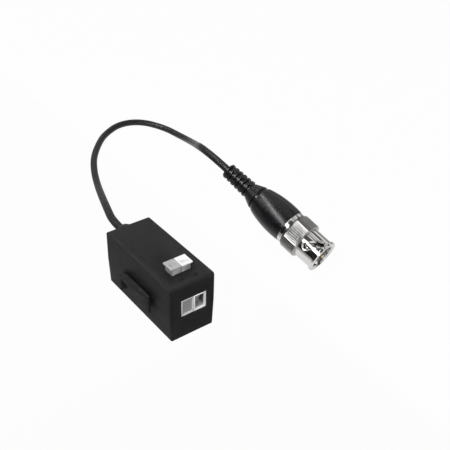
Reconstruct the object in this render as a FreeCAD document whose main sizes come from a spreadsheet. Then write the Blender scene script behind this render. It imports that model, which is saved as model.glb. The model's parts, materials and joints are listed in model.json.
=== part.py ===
import FreeCAD, Part
import math
import os
import re
import Sketcher
from FreeCAD import Placement, Rotation, Vector

# A passive video balun: a small stackable plastic case with two push-button
# wire terminals on its front, and a short coaxial tail with a bayonet plug.
# Origin: middle of the case's footprint, on the surface it stands on.
# Terminals face -Y, the cable leaves toward +Y, +Z is up. Millimetres.

SIZES = {
    # case
    "case_width": 17.7, "case_length": 40.2, "case_height": 21.28,
    "case_wall": 1.7, "case_roof": 1.5, "case_draft": 0.5, "draft_top": 10.6,
    "brow_round": 1.1, "corner_round": 0.5,
    "rib_depth": 0.5, "rib_width": 1.2, "rib_front": 14.62, "rib_back": 35.62,
    # bottom cover and circuit board
    "cover_gap": 0.1, "cover_thick": 1.4, "post_radius": 1.1, "post_side_inset": 2.6,
    "post_end_inset": 3.8, "post_gap": 1.25, "board_gap": 0.25,
    "board_rise": 3.4, "board_thick": 1.2, "drill_play": 0.15,
    # side rail and the channel that takes a neighbour's rail
    "rail_front": 9.92, "rail_length": 19.2, "rail_low": 6.4, "rail_high": 13.4,
    "rail_stand": 2.02, "rail_thick": 0.9, "rail_toe": 5.2, "rail_step": 2.95,
    "rail_setback": 1.2, "neck_low": 9.4, "neck_high": 10.7, "rail_slope": 3.0,
    "leg_thick": 1.2, "leg_low": 4.55,
    "channel_play": 0.25, "lip_stand": 1.0, "lip_width": 1.0,
    # terminal poles
    "pole_centre": 0.5, "pole_pitch": 4.9, "pole_wall": 1.2, "pole_height": 13.2,
    "mouth_low": 8.75, "mouth_high": 15.25, "mouth_rim": 0.55, "mouth_deep": 3.6,
    "window_play": 0.05, "wire_hole": 1.2, "wire_hole_rise": 1.9,
    "shaft_play": 0.16, "shaft_length": 6.46, "shaft_floor": 8.9,
    "leaf_thick": 0.3, "leaf_play": 0.04, "leaf_left_depth": 0.45,
    "leaf_right_depth": 3.0, "leaf_right_gap": 1.4,
    # contact bars and clamp springs
    "bar_thick": 0.6, "bar_pin_reach": 0.7, "bar_play": 0.15, "spring_thick": 0.3,
    "spring_side": 0.15, "spring_bend": 1.1, "spring_front": 0.5,
    "spring_back": 0.4, "spring_foot": 0.9, "spring_lip": 1.4, "spring_lip_drop": 1.3,
    "spring_seat": 0.02, "spring_play": 0.1,
    # push buttons
    "cap_centre": 0.07, "cap_width": 4.28, "cap_split": 0.12, "cap_depth": 4.95,
    "cap_front": 6.11, "cap_thick": 0.5, "button_travel": 1.2, "stop_gap": 1.05,
    "cap_round": 0.2,
    "stem_inset": 0.78, "stem_depth": 4.6, "stem_foot": 13.4, "stem_setback": 0.31,
    "leg_width": 2.48, "leg_inset": 0.05, "shoulder_gap": 0.2,
    "dash_length": 2.5, "dash_width": 0.5, "dash_deep": 0.25,
    "opening_side": 0.45, "opening_front": 0.2, "opening_back": 0.3,
    # transformer, surge part, capacitor and resistor on the board
    "core_outer": 4.7, "core_inner": 2.3, "core_height": 4.4, "core_rise": 0.75,
    "core_shift": 0.21, "wire_radius": 0.22, "wire_turns": 9.0, "turn_play": 0.1,
    "turn_round": 0.4, "winding_start": 25.0, "winding_sweep": 130.0,
    "lead_radius": 0.28, "lead_tail": 0.9, "part_rise": 0.3,
    "arrester_radius": 1.6, "arrester_length": 4.4, "arrester_y": 9.4, "arrester_lead": 0.9,
    "capacitor_width": 5.2, "capacitor_depth": 2.5, "capacitor_height": 4.6,
    "capacitor_y": 13.2, "capacitor_pitch": 3.8, "capacitor_round": 0.4,
    "resistor_radius": 0.85, "resistor_length": 3.4, "resistor_x": 5.0, "resistor_y": 8.2,
    "resistor_lead": 0.7,
    # cable, its gland and its ends inside the case
    "cable_radius": 1.5, "gland_drop": 0.18, "gland_reach": 3.68, "gland_radius": 3.5,
    "gland_neck": 2.5, "gland_flange": 3.1, "flange_thick": 1.0, "gland_play": 0.05,
    "cable_inside": 3.2, "lead_size": 0.45, "lead_spread": 0.7, "lead_run": 2.2,
    "lead_drop": 3.6, "lead_foot": 4.7, "core_lead_y": 10.6, "screen_lead_y": 11.8,
    # plug, measured along its axis from the tail of its strain relief
    "plug_length": 51.0, "plug_pitch": 20.2, "plug_yaw": 10.84,
    "nose_x": 59.03, "nose_y": -20.18,
    "relief_length": 12.6, "relief_rings": 6.0, "ring_share": 0.46,
    "relief_tail": 3.15, "relief_head": 3.6, "relief_root": 0.85, "bridge_width": 2.3,
    "flare_start": 3.5, "flare_end": 16.7, "flare_radius": 5.2, "waist_end": 17.8, "waist_radius": 4.4,
    "grip_start": 5.5, "grip_belly": 7.12, "grip_belly_at": 29.0, "grip_end": 6.9,
    "collar_start": 33.6, "collar_end": 35.3, "collar_radius": 6.9,
    "shank_start": 22.0, "shank_radius": 4.0, "neck_radius": 4.8,
    "flange_start": 40.6, "flange_end": 42.2, "flange_radius": 5.8,
    "bore_deep": 38.0, "contact_radius": 4.05, "contact_wall": 0.4,
    "contact_end": 49.9, "contact_slot": 0.5, "contact_slot_start": 43.9,
    "insulator_radius": 2.4, "insulator_end": 46.4, "insulator_seat": 1.6,
    "pin_radius": 0.675, "pin_end": 49.6, "fit_play": 0.03,
    "gasket_outer": 4.75, "gasket_thick": 1.0,
    # coupling nut and the washers that hold it on the plug body
    "nut_start": 35.6, "knurl_end": 42.4, "knurl_radius": 7.4, "knurl_deep": 0.28,
    "knurl_count": 60.0, "knurl_chamfer": 0.55, "sleeve_radius": 6.2, "sleeve_bore": 4.92,
    "rim_start": 49.8, "rim_radius": 6.75, "rim_chamfer": 0.25, "mouth_chamfer": 0.45,
    "cavity_radius": 6.0, "shoulder_play": 0.05, "groove_width": 0.8, "groove_radius": 6.5,
    "ring_play": 0.06, "ring_inner": 5.05, "ring_gap": 2.0,
    "slot_width": 2.4, "lock_radius": 1.4, "lock_at": 44.9, "lock_angle": 147.0,
    "slot_turn": 48.0, "slot_front": 48.7, "entry_radius": 5.75,
    "washer_thick": 0.5, "washer_inner": 4.95, "washer_outer": 5.85,
    "disc_thick": 0.25, "disc_flat": 0.4, "nut_slide": 0.8, "seat_play": 0.02,
}

# the free cable's route between the gland's face and the plug's tail,
# chosen by hand: down to the surface, round, and up to the raised plug
ROUTE = [
    (3.1, 40.6, 15.4), (8.9, 55.5, 11.0), (16.7, 74.4, 4.7),
    (23.5, 90.4, 1.8), (29.8, 102.5, 1.5), (38.2, 113.0, 1.5), (45.3, 119.7, 1.8),
    (55.8, 123.2, 3.3), (66.5, 120.0, 3.0), (73.9, 110.5, 1.5), (75.4, 99.7, 1.5),
    (74.5, 90.4, 3.1), (68.8, 76.5, 8.7), (59.2, 60.3, 17.4), (49.6, 46.0, 26.4),
]
FIRST_RUN = 7.42
LAST_RUN = 8.5

doc = FreeCAD.newDocument("video_balun")
sheet = doc.addObject("Spreadsheet::Sheet", "Sizes")
for row, (alias, value) in enumerate(SIZES.items(), start=1):
    sheet.set("A%d" % row, alias)
    sheet.set("B%d" % row, repr(value))
    sheet.setAlias("B%d" % row, alias)
doc.recompute()

SUBPARTS = []


def tied(text):
    """Point each size's name in an expression at the sheet."""
    return re.sub(r"[a-z_]+", lambda word: "Sizes." + word.group(0)
                  if word.group(0) in SIZES else word.group(0), str(text))


def size(text):
    """The value of an expression of sheet sizes."""
    return float(sheet.evalExpression(tied(text)))


def bind(item, **properties):
    """Bind an object's properties to expressions of sheet sizes."""
    for name, text in properties.items():
        item.setExpression(name.replace("_", "."), tied(text))
    return item


def box(name, low, high):
    """A box between two corners, each three expressions."""
    item = doc.addObject("Part::Box", name)
    for side, corner, start, end in zip(("Length", "Width", "Height"), "xyz", low, high):
        item.setExpression("Placement.Base." + corner, tied(start))
        item.setExpression(side, tied("(%s) - (%s)" % (end, start)))
    return item


def cylinder(name, foot, radius, length, along=Vector(0, 0, 1)):
    """A cylinder from its foot's centre, along a direction."""
    item = doc.addObject("Part::Cylinder", name)
    item.Placement = Placement(Vector(), Rotation(Vector(0, 0, 1), along))
    for corner, start in zip("xyz", foot):
        item.setExpression("Placement.Base." + corner, tied(start))
    return bind(item, Radius=radius, Height=length)


def fuse(name, pieces):
    item = doc.addObject("Part::MultiFuse", name)
    item.Shapes = pieces
    item.Refine = True
    return item


def cut(name, base, tools):
    item = doc.addObject("Part::Cut", name)
    item.Base = base
    item.Tool = tools[0] if len(tools) == 1 else fuse(name + "_tools", tools)
    item.Refine = True
    return item


def subpart(item, label, place=None):
    """Name a finished piece, put it in place and list it."""
    item.Label = label
    if place is not None:
        item.Placement = place
    SUBPARTS.append(item)
    return item


def plane(body, role):
    return next(item for item in body.Origin.OriginFeatures if item.Role == role)


def outline(body, name, role, points):
    """A closed sketch of straight lines on an origin plane, each corner bound to the sheet."""
    sketch = body.newObject("Sketcher::SketchObject", name)
    sketch.AttachmentSupport = [(plane(body, role), "")]
    sketch.MapMode = "FlatFace"
    corners = [Vector(size(across), size(up), 0) for across, up in points]
    for start, end in zip(corners, corners[1:] + corners[:1]):
        sketch.addGeometry(Part.LineSegment(start, end))
    for line, (across, up) in enumerate(points):
        before = (line - 1) % len(points)
        sketch.addConstraint(Sketcher.Constraint("Coincident", before, 2, line, 1))
        for kind, text in (("DistanceX", across), ("DistanceY", up)):
            index = sketch.addConstraint(Sketcher.Constraint(kind, -1, 1, line, 1, size(text)))
            sketch.setExpression("Constraints[%d]" % index, tied(text))
    return sketch


def body_named(name):
    return doc.addObject("PartDesign::Body", name)


def turned(label, points, place=None):
    """A turned piece: an outline of (radius, height) corners revolved round its own Z axis."""
    body = body_named(label)
    sketch = outline(body, label + "_outline", "XZ_Plane", points)
    turn = body.newObject("PartDesign::Revolution", label + "_turn")
    turn.Profile = sketch
    turn.ReferenceAxis = (sketch, ["V_Axis"])
    turn.Angle = 360.0
    return subpart(body, label, place)


def rounded(body, name, radius, wanted):
    """Fillet the body's edges that a test picks."""
    doc.recompute()
    tip = body.Tip
    names = ["Edge%d" % number for number, edge in enumerate(tip.Shape.Edges, start=1) if wanted(edge)]
    fillet = body.newObject("PartDesign::Fillet", name)
    fillet.Base = (tip, names)
    fillet.setExpression("Radius", tied(radius))
    return fillet


def pocket(body, name, role, points, depth=None, backward=False):
    """Cut an outline into the body, through all or to a depth from its plane."""
    doc.recompute()
    feature = body.newObject("PartDesign::Pocket", name)
    feature.Profile = outline(body, name + "_outline", role, points)
    if depth is None:
        feature.Type = 1
        feature.Midplane = True
    else:
        feature.setExpression("Length", tied(depth))
        feature.Reversed = backward
    return feature


def rounded_path(points, share=0.45):
    """Straight runs joined by tangent arcs, each as large as its two runs allow."""
    edges = []
    radii = []
    here = points[0]
    for before, corner, after in zip(points, points[1:], points[2:]):
        back = before - corner
        ahead = after - corner
        shorter = share * min(back.Length, ahead.Length)
        half_turn = (math.pi - back.getAngle(ahead)) / 2
        radius = shorter / math.tan(half_turn)
        inward = back.normalize() + ahead.normalize()
        inward.normalize()
        start = corner + back * shorter
        end = corner + ahead * shorter
        middle = corner + inward * (radius / math.cos(half_turn) - radius)
        edges.append(Part.LineSegment(here, start).toShape())
        edges.append(Part.Arc(start, middle, end).toShape())
        radii.append(radius)
        here = end
    edges.append(Part.LineSegment(here, points[-1]).toShape())
    return Part.Wire(edges), radii


def tube(points, radius, share=0.45):
    """A round tube along a path of runs and arcs, with the path's radii."""
    path, radii = rounded_path(points, share)
    section = Part.Wire(Part.makeCircle(radius, points[0], points[1] - points[0]))
    return path.makePipeShell([section], True, False), radii, path.Length


def solid(label, shape, place=None):
    """A piece whose shape is worked out by code."""
    item = doc.addObject("Part::Feature", label)
    item.Shape = shape
    return subpart(item, label, place)


# lines that many pieces share
FRONT = "-case_length / 2"
BACK = "case_length / 2"
SIDE = "case_width / 2"
ROOF = "case_height - case_roof"
CAVITY = "(case_width / 2 - case_wall)"
INNER_FRONT = "(-case_length / 2 + case_wall)"
INNER_BACK = "(case_length / 2 - case_wall)"
CABLE_HEIGHT = "(case_height - case_roof - gland_drop - gland_flange)"
BOARD_TOP = "(board_rise + board_thick)"
POLE_TOP = "(board_rise + board_thick + pole_height)"
SHAFT_FRONT = "(-case_length / 2 + cap_front + stem_setback - shaft_play)"
SHAFT_BACK = "(%s + shaft_length)" % SHAFT_FRONT
SHAFT_WIDTH = "(leg_width + 2 * shaft_play)"
CORE_MIDDLE = "((%s + pole_wall + arrester_y - arrester_radius) / 2 - core_shift)" % SHAFT_BACK
POST_FRONT = "(%s + post_end_inset)" % INNER_FRONT
POST_BACK = "(screen_lead_y + lead_size + post_gap + post_radius)"
STEM_WIDTH = "(cap_width - stem_inset)"
CAP_RISE = "(cap_thick + stop_gap + button_travel)"
WASHER_BACK = "(flange_start - seat_play - washer_thick)"
DISC_HEIGHT = "(nut_slide + disc_flat)"
RING_FRONT = "(%s - 2 * seat_play - %s)" % (WASHER_BACK, DISC_HEIGHT)
GROOVE_FRONT = "(%s + ring_play)" % RING_FRONT
GROOVE_BACK = "(%s - groove_width)" % GROOVE_FRONT


def across(pole, shift="0"):
    """A pole's centre across the case; pole is -1 on the left and 1 on the right."""
    return "(pole_centre + %s * pole_pitch / 2 + %s)" % (pole, shift)


def button_left(pole):
    """The left edge of a pole's button cap."""
    return "(cap_centre + %s)" % ("-cap_split / 2 - cap_width" if pole < 0 else "cap_split / 2")


def stem_left(pole):
    """The left side of a button's stem, which is flush with its cap on the side of the other button."""
    return "(%s + %s)" % (button_left(pole), "stem_inset" if pole < 0 else "0")


def leg_left(pole):
    """The left side of a button's leg, which keeps to the outer side of its stem."""
    return "(%s + %s)" % (stem_left(pole), "leg_inset" if pole < 0 else
                          "%s - leg_inset - leg_width" % STEM_WIDTH)


def shaft_middle(pole):
    """The middle, across the case, of a button's leg and of the shaft that it slides in."""
    return "(%s + leg_width / 2)" % leg_left(pole)


# board holes: x, y and radius of what passes through
LEAD_HOLES = []


def lead_hole(x, y, radius):
    LEAD_HOLES.append((x, y, radius))


def make_case():
    """The moulded case: a box open below, with the windows, the rail and the channel."""
    body = body_named("case_body")
    section = outline(body, "case_section", "XZ_Plane", [
        ("-%s + case_draft" % SIDE, "0"), ("%s - case_draft" % SIDE, "0"),
        (SIDE, "draft_top"), (SIDE, "case_height"),
        ("-" + SIDE, "case_height"), ("-" + SIDE, "draft_top")])
    pad = body.newObject("PartDesign::Pad", "case_pad")
    pad.Profile = section
    pad.Midplane = True
    pad.setExpression("Length", tied("case_length"))
    half = size("case_length / 2")
    side = size(SIDE)
    top = size("case_height")

    def brow(edge):
        middle = edge.CenterOfMass
        return middle.y < 0.01 - half and middle.z > top - 0.01

    def upright_edges(edge):
        middle = edge.CenterOfMass
        at_side = abs(middle.x) > side - size("case_draft") - 0.01
        return at_side and abs(middle.y) > half - size("brow_round") and middle.z > 0.1

    def roof_edges(edge):
        middle = edge.CenterOfMass
        return middle.z > top - 0.01 and (abs(middle.x) > side - 0.01 or middle.y > half - 0.01)

    rounded(body, "case_brow", "brow_round", brow)
    rounded(body, "case_corners", "corner_round", lambda edge: upright_edges(edge) or roof_edges(edge))

    cavity = box("case_cavity", ("-" + CAVITY, INNER_FRONT, "-1"), (CAVITY, INNER_BACK, ROOF))
    low_cavity = "(%s - case_draft)" % CAVITY
    skirts = [
        box("skirt_left", ("-" + CAVITY, INNER_FRONT, "0"), ("-" + low_cavity, INNER_BACK, BOARD_TOP)),
        box("skirt_right", (low_cavity, INNER_FRONT, "0"), (CAVITY, INNER_BACK, BOARD_TOP))]
    hollow = cut("case_hollow", body, [cavity])

    rail, neck, leg = make_rail()
    lips = make_channel_lips()
    ribs = []
    places = ((-1, "rib_front"), (1, "rib_front"), (-1, "rib_back"), (1, "rib_back"))
    for number, (sign, y) in enumerate(places):
        outer = "%d * (%s + 0.1)" % (sign, CAVITY)
        inner = "%d * (%s - case_draft - rib_depth)" % (sign, CAVITY)
        low_x, high_x = (outer, inner) if sign < 0 else (inner, outer)
        ribs.append(box("case_rib_%d" % number, (low_x, "%s + %s" % (FRONT, y), BOARD_TOP),
                        (high_x, "%s + %s + rib_width" % (FRONT, y), ROOF + " + 0.1")))
    whole = fuse("case_whole", [hollow] + skirts + [rail, neck, leg] + lips + ribs)

    window_left = across(-1, "-pole_pitch / 2 - window_play")
    window_right = across(1, "pole_pitch / 2 + window_play")
    cuts = [
        box("wire_window", (window_left, FRONT + " - 1", "mouth_low - window_play"),
            (window_right, INNER_FRONT + " + 0.1", "mouth_high + window_play")),
        box("button_opening",
            (stem_left(-1) + " - opening_side", FRONT + " + cap_front + stem_setback - opening_front",
             ROOF + " - 0.1"),
            ("%s + %s + opening_side" % (stem_left(1), STEM_WIDTH),
             FRONT + " + cap_front + stem_depth + opening_back", "case_height + 0.1")),
        cylinder("gland_hole", ("0", INNER_BACK + " - 0.1", CABLE_HEIGHT),
                 "gland_neck + gland_play", "case_wall + 0.2", Vector(0, 1, 0)),
        box("channel_floor", (SIDE + " - rail_thick - channel_play", FRONT + " + rail_front",
                              "rail_low - channel_play"),
            (SIDE + " + 0.05", BACK + " + 0.1", "rail_high + channel_play")),
        box("leg_channel", (SIDE + " - rail_thick - channel_play",
                            FRONT + " + rail_front + rail_length - leg_thick - channel_play",
                            "leg_low - channel_play"),
            (SIDE + " + 0.05", BACK + " + 0.1", "rail_low"))]
    subpart(cut("housing_shell", whole, cuts), "housing_shell")


def make_rail():
    """The hooked rail on the left wall: a flange on a neck, with a toe in front and a leg behind."""
    outer = "-(case_width / 2 + rail_stand)"
    inner = "(%s + rail_thick)" % outer
    start = "(%s + rail_front)" % FRONT
    end = "(%s + rail_length)" % start
    wall = "(-%s + case_draft)" % SIDE
    flange = body_named("rail_flange")
    sketch = outline(flange, "rail_outline", "YZ_Plane", [
        (start, "rail_low"), (start + " + rail_toe", "rail_low"),
        (start + " + rail_toe", "rail_low + rail_step"), (end, "rail_low + rail_step"),
        (end, "rail_high - 0.9 * rail_slope"), (end + " - rail_slope", "rail_high"),
        (start, "rail_high")])
    pad = flange.newObject("PartDesign::Pad", "rail_pad")
    pad.Profile = sketch
    pad.setExpression("Length", tied("rail_thick"))
    doc.recompute()
    toe_y = size(start + " + rail_toe")
    toe_z = size("rail_low + rail_step")

    def toe_corner(edge):
        middle = edge.CenterOfMass
        return abs(middle.y - toe_y) < 0.01 and abs(middle.z - toe_z) < 0.01

    rounded(flange, "rail_toe_round", "rail_step * 0.6", toe_corner)
    doc.recompute()
    flange.Placement = Placement(Vector(size(outer), 0, 0), Rotation())
    neck = box("rail_neck", (inner + " - 0.01", start + " + rail_setback", "neck_low"),
               (wall, end, "neck_high"))
    leg = box("rail_leg", (inner + " - rail_thick", end + " - leg_thick", "leg_low"),
              (wall, end, "neck_low + 0.1"))
    return flange, neck, leg


def make_channel_lips():
    """Two hooked lips on the right wall, which a neighbour's rail slides behind from the back."""
    start = FRONT + " + rail_front"
    end = start + " + rail_length"
    root = "(%s - case_draft)" % SIDE
    tip = "(%s + lip_stand)" % SIDE
    upper = box("lip_upper", (root, start, "neck_high + channel_play"),
                (tip, end, "rail_high + channel_play + lip_width"))
    lower = box("lip_lower", (root, start, "rail_low - channel_play - lip_width"),
                (tip, end + " - leg_thick - channel_play", "neck_low - channel_play"))
    stop = box("lip_stop", (root, start + " - lip_width", "rail_low - channel_play - lip_width"),
               (tip, start + " + 0.01", "rail_high + channel_play + lip_width"))
    relief = box("lip_relief", (SIDE, start, "rail_low - channel_play"),
                 (SIDE + " + 0.01", end + " + 0.1", "rail_high + channel_play"))
    return [cut("lip_pair", fuse("lip_block", [upper, lower, stop]), [relief])]


def make_cover():
    """The bottom cover, flush with the case's lower edge, with posts under the board: two near
    its front end and two just behind the feet of the cable's leads."""
    half_width = "(%s - case_draft - cover_gap)" % CAVITY
    plate = box("cover_plate", ("-" + half_width, INNER_FRONT + " + cover_gap", "0"),
                (half_width, INNER_BACK + " - cover_gap", "cover_thick"))
    posts = []
    corners = [(-1, POST_FRONT), (1, POST_FRONT), (-1, POST_BACK), (1, POST_BACK)]
    for number, (x_sign, y) in enumerate(corners):
        posts.append(cylinder("cover_post_%d" % number,
                              ("%d * (%s - post_side_inset)" % (x_sign, half_width), y, "cover_thick / 2"),
                              "post_radius", "board_rise - cover_thick / 2"))
    subpart(fuse("base_cover", [plate] + posts), "base_cover")


def make_board():
    """The circuit board, drilled for every pin and lead that passes it."""
    half_width = "(%s - case_draft - board_gap)" % CAVITY
    board = box("board_blank", ("-" + half_width, INNER_FRONT + " + board_gap", "board_rise"),
                (half_width, INNER_BACK + " - board_gap", BOARD_TOP))
    drills = [cylinder("board_drill_%d" % number, (x, y, "board_rise - 0.5"),
                       "%s + drill_play" % radius, "board_thick + 1")
              for number, (x, y, radius) in enumerate(LEAD_HOLES)]
    subpart(cut("circuit_board", board, drills), "circuit_board")


def make_pole(side, pole):
    """One terminal pole: a mouth in the case's window, a wire hole and the button's shaft."""
    left = across(pole, "-pole_pitch / 2")
    right = across(pole, "pole_pitch / 2")
    block = box("pole_block_" + side, (left, INNER_FRONT, BOARD_TOP),
                (right, SHAFT_BACK + " + pole_wall", POLE_TOP))
    nose = box("pole_nose_" + side, (left, FRONT, "mouth_low"), (right, INNER_FRONT + " + 0.1", "mouth_high"))
    mouth = box("pole_mouth_" + side, (left + " + mouth_rim", FRONT + " - 0.1", "mouth_low + mouth_rim"),
                (right + " - mouth_rim", FRONT + " + mouth_deep", "mouth_high - mouth_rim"))
    hole = cylinder("pole_hole_" + side, (across(pole), FRONT + " + mouth_deep - 0.1",
                                          "mouth_low + wire_hole_rise"),
                    "wire_hole", "%s - (%s + mouth_deep) + 0.2" % (SHAFT_FRONT, FRONT), Vector(0, 1, 0))
    middle = shaft_middle(pole)
    shaft = box("pole_shaft_" + side, (middle + " - %s / 2" % SHAFT_WIDTH, SHAFT_FRONT, "shaft_floor"),
                (middle + " + %s / 2" % SHAFT_WIDTH, SHAFT_BACK, POLE_TOP + " + 0.1"))
    pin_slot = box("pole_pin_slot_" + side,
                   (middle + " - bar_thick", SHAFT_BACK + " - bar_pin_reach - fit_play", BOARD_TOP + " - 0.1"),
                   (middle + " + bar_thick", SHAFT_BACK, "shaft_floor + 0.1"))
    label = "terminal_pole_" + side
    subpart(cut(label, fuse("pole_solid_" + side, [block, nose]), [mouth, hole, shaft, pin_slot]), label)


def make_leaf(side, pole, depth, gap):
    """The nickel leaf in a pole's mouth, which the wire slides under."""
    left = across(pole, "-pole_pitch / 2 + mouth_rim + leaf_play")
    right = across(pole, "pole_pitch / 2 - mouth_rim - leaf_play")
    low = "mouth_low + mouth_rim + leaf_play + %s" % gap
    high = "mouth_high - mouth_rim - leaf_play"
    front = "%s + %s" % (FRONT, depth)
    label = "entry_leaf_" + side
    subpart(box(label, (left, front, low), (right, front + " + leaf_thick", high)), label)


def make_contact(side, pole):
    """A contact bar on the shaft's floor, with a pin down through the board."""
    middle = shaft_middle(pole)
    half_width = "(%s / 2 - fit_play)" % SHAFT_WIDTH
    pin_front = SHAFT_BACK + " - bar_pin_reach"
    bar = box("bar_" + side, (middle + " - " + half_width, SHAFT_FRONT + " + bar_play", "shaft_floor"),
              (middle + " + " + half_width, SHAFT_BACK + " - fit_play", "shaft_floor + bar_thick"))
    pin = box("bar_pin_" + side, (middle + " - bar_thick / 2", pin_front, "board_rise - lead_tail"),
              (middle + " + bar_thick / 2", pin_front + " + bar_thick", "shaft_floor + 0.1"))
    lead_hole(middle, pin_front + " + bar_thick / 2", "(0.75 * bar_thick)")
    label = "contact_bar_" + side
    subpart(fuse(label, [bar, pin]), label)


def make_spring(side, pole):
    """A clamp spring: a flat leg on the contact bar, a round bend and a leg under the button."""
    thick = size("spring_thick")
    bend = size("spring_bend")
    floor = size("shaft_floor + bar_thick + spring_seat + spring_thick / 2")
    top = size("stem_foot - spring_play - spring_thick / 2")
    front = size(SHAFT_FRONT + " + spring_front")
    back = size(SHAFT_BACK + " - spring_back") - bend
    toe = Vector(0, front + size("spring_foot"), floor)
    heel = Vector(0, back, floor)
    loop_top = Vector(0, back, floor + 2 * bend)
    crest = Vector(0, front + size("spring_lip"), top)
    lip = Vector(0, front, top - size("spring_lip_drop"))
    edges = [
        Part.LineSegment(toe, heel).toShape(),
        Part.Arc(heel, Vector(0, back + bend, floor + bend), loop_top).toShape(),
        Part.LineSegment(loop_top, crest).toShape(),
        Part.LineSegment(crest, lip).toShape()]
    ribbon = Part.Wire(edges).makeOffset2D(thick / 2, 0, True, True, False)
    width = size("leg_width - 2 * spring_side")
    middle = size(shaft_middle(pole))
    strip = ribbon.extrude(Vector(width, 0, 0))
    strip.translate(Vector(middle - width / 2, 0, 0))
    solid("clamp_spring_" + side, strip)


def make_button(side, pole):
    """A push button: an overhanging cap with a dash, a shouldered stem and a leg in the pole."""
    left = button_left(pole)
    front = FRONT + " + cap_front"
    top = "case_height + " + CAP_RISE
    body = body_named("button_body_" + side)
    sketch = outline(body, "cap_outline_" + side, "XY_Plane", [
        (left, front), (left + " + cap_width", front),
        (left + " + cap_width", front + " + cap_depth"), (left, front + " + cap_depth")])
    pad = body.newObject("PartDesign::Pad", "cap_pad_" + side)
    pad.Profile = sketch
    pad.setExpression("Length", tied("cap_thick"))
    doc.recompute()

    def upper(edge):
        return edge.BoundBox.ZMin > size("cap_thick") - 0.01 or edge.BoundBox.ZLength > 0.1

    rounded(body, "cap_round_" + side, "cap_round", upper)
    body.Placement = Placement(Vector(0, 0, size(top + " - cap_thick")), Rotation())
    stem_front = front + " + stem_setback"
    stem_back = front + " + stem_depth"
    shoulder = POLE_TOP + " + button_travel + shoulder_gap"
    stem = box("stem_" + side, (stem_left(pole), stem_front, shoulder),
               ("%s + %s" % (stem_left(pole), STEM_WIDTH), stem_back, top + " - cap_thick + 0.1"))
    leg = box("leg_" + side, (leg_left(pole), stem_front, "stem_foot"),
              (leg_left(pole) + " + leg_width", stem_back, shoulder + " + 0.1"))
    middle = left + " + cap_width / 2"
    dash = box("dash_" + side,
               (middle + " - dash_length / 2", front + " + (cap_depth - dash_width) / 2", top + " - dash_deep"),
               (middle + " + dash_length / 2", front + " + (cap_depth + dash_width) / 2", top + " + 0.1"))
    label = "push_button_" + side
    subpart(cut(label, fuse("button_solid_" + side, [body, stem, leg]), [dash]), label)


def make_transformer():
    """A ring core between the terminals and the arrester, wound with turns of enamelled wire."""
    centre = ("0", CORE_MIDDLE, BOARD_TOP + " + core_rise")
    outer = cylinder("core_outside", centre, "core_outer", "core_height")
    inner = cylinder("core_hole", (centre[0], centre[1], centre[2] + " - 0.1"),
                     "core_inner", "core_height + 0.2")
    subpart(cut("transformer_core", outer, [inner]), "transformer_core")

    wire = size("wire_radius")
    play = wire + size("turn_play")
    near = size("core_inner") - play
    far = size("core_outer") + play
    low = -play
    high = size("core_height") + play
    middle = (near + far) / 2
    ring = [Vector(middle, 0, low), Vector(far, 0, low), Vector(far, 0, high),
            Vector(near, 0, high), Vector(near, 0, low)]
    path = closed_turn(ring)
    section = Part.Wire(Part.makeCircle(wire, ring[0], Vector(1, 0, 0)))
    turn = path.makePipeShell([section], True, False)
    count = int(size("wire_turns"))
    turns = []
    for sector in (-1, 1):
        for number in range(count):
            copy = turn.copy()
            angle = sector * (size("winding_start") + size("winding_sweep") * number / (count - 1))
            copy.rotate(Vector(), Vector(0, 0, 1), angle)
            copy.translate(Vector(0, size(centre[1]), size(centre[2])))
            turns.append(copy)
    solid("transformer_winding", Part.Compound(turns))


def closed_turn(ring):
    """One closed turn of wire round a rectangle, with rounded corners."""
    radius = size("turn_round")
    edges = []
    start = ring[0]
    for before, corner, after in zip(ring, ring[1:], ring[2:] + ring[:1]):
        back = (before - corner).normalize()
        ahead = (after - corner).normalize()
        middle = corner + (back + ahead) * (radius * (1 - math.sqrt(0.5)))
        edges.append(Part.LineSegment(start, corner + back * radius).toShape())
        edges.append(Part.Arc(corner + back * radius, middle, corner + ahead * radius).toShape())
        start = corner + ahead * radius
    edges.append(Part.LineSegment(start, ring[0]).toShape())
    return Part.Wire(edges)


def bent_lead(start, corner):
    """A lead from an axial part's end, out to a corner and down through the board."""
    foot = Vector(corner.x, corner.y, size("board_rise - lead_tail"))
    lead, _, _ = tube([start, corner, foot], size("lead_radius"))
    lead_hole("%g" % corner.x, "%g" % corner.y, "lead_radius")
    return lead


def make_axial(label, centre, along, radius, length, reach):
    """An axial part lying over the board, on two bent leads."""
    base = centre - along * (length / 2)
    shape = Part.makeCylinder(radius, length, base, along)
    for sign in (-1, 1):
        start = centre + along * (sign * (length / 2 - 0.2))
        end = centre + along * (sign * (length / 2 + reach))
        shape = shape.fuse(bent_lead(start, end))
    solid(label, shape)


def make_capacitor():
    """A film capacitor standing on the board on two leads."""
    half_x = size("capacitor_width / 2")
    half_y = size("capacitor_depth / 2")
    low = size(BOARD_TOP + " + part_rise")
    y = size("capacitor_y")
    case = Part.makeBox(2 * half_x, 2 * half_y, size("capacitor_height"), Vector(-half_x, y - half_y, low))
    case = case.makeFillet(size("capacitor_round"), case.Edges)
    for sign in (-1, 1):
        x = sign * size("capacitor_pitch / 2")
        foot = size("board_rise - lead_tail")
        case = case.fuse(Part.makeCylinder(size("lead_radius"), low + 0.5 - foot, Vector(x, y, foot)))
        lead_hole("%g" % x, "capacitor_y", "lead_radius")
    solid("film_capacitor", case)


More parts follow.
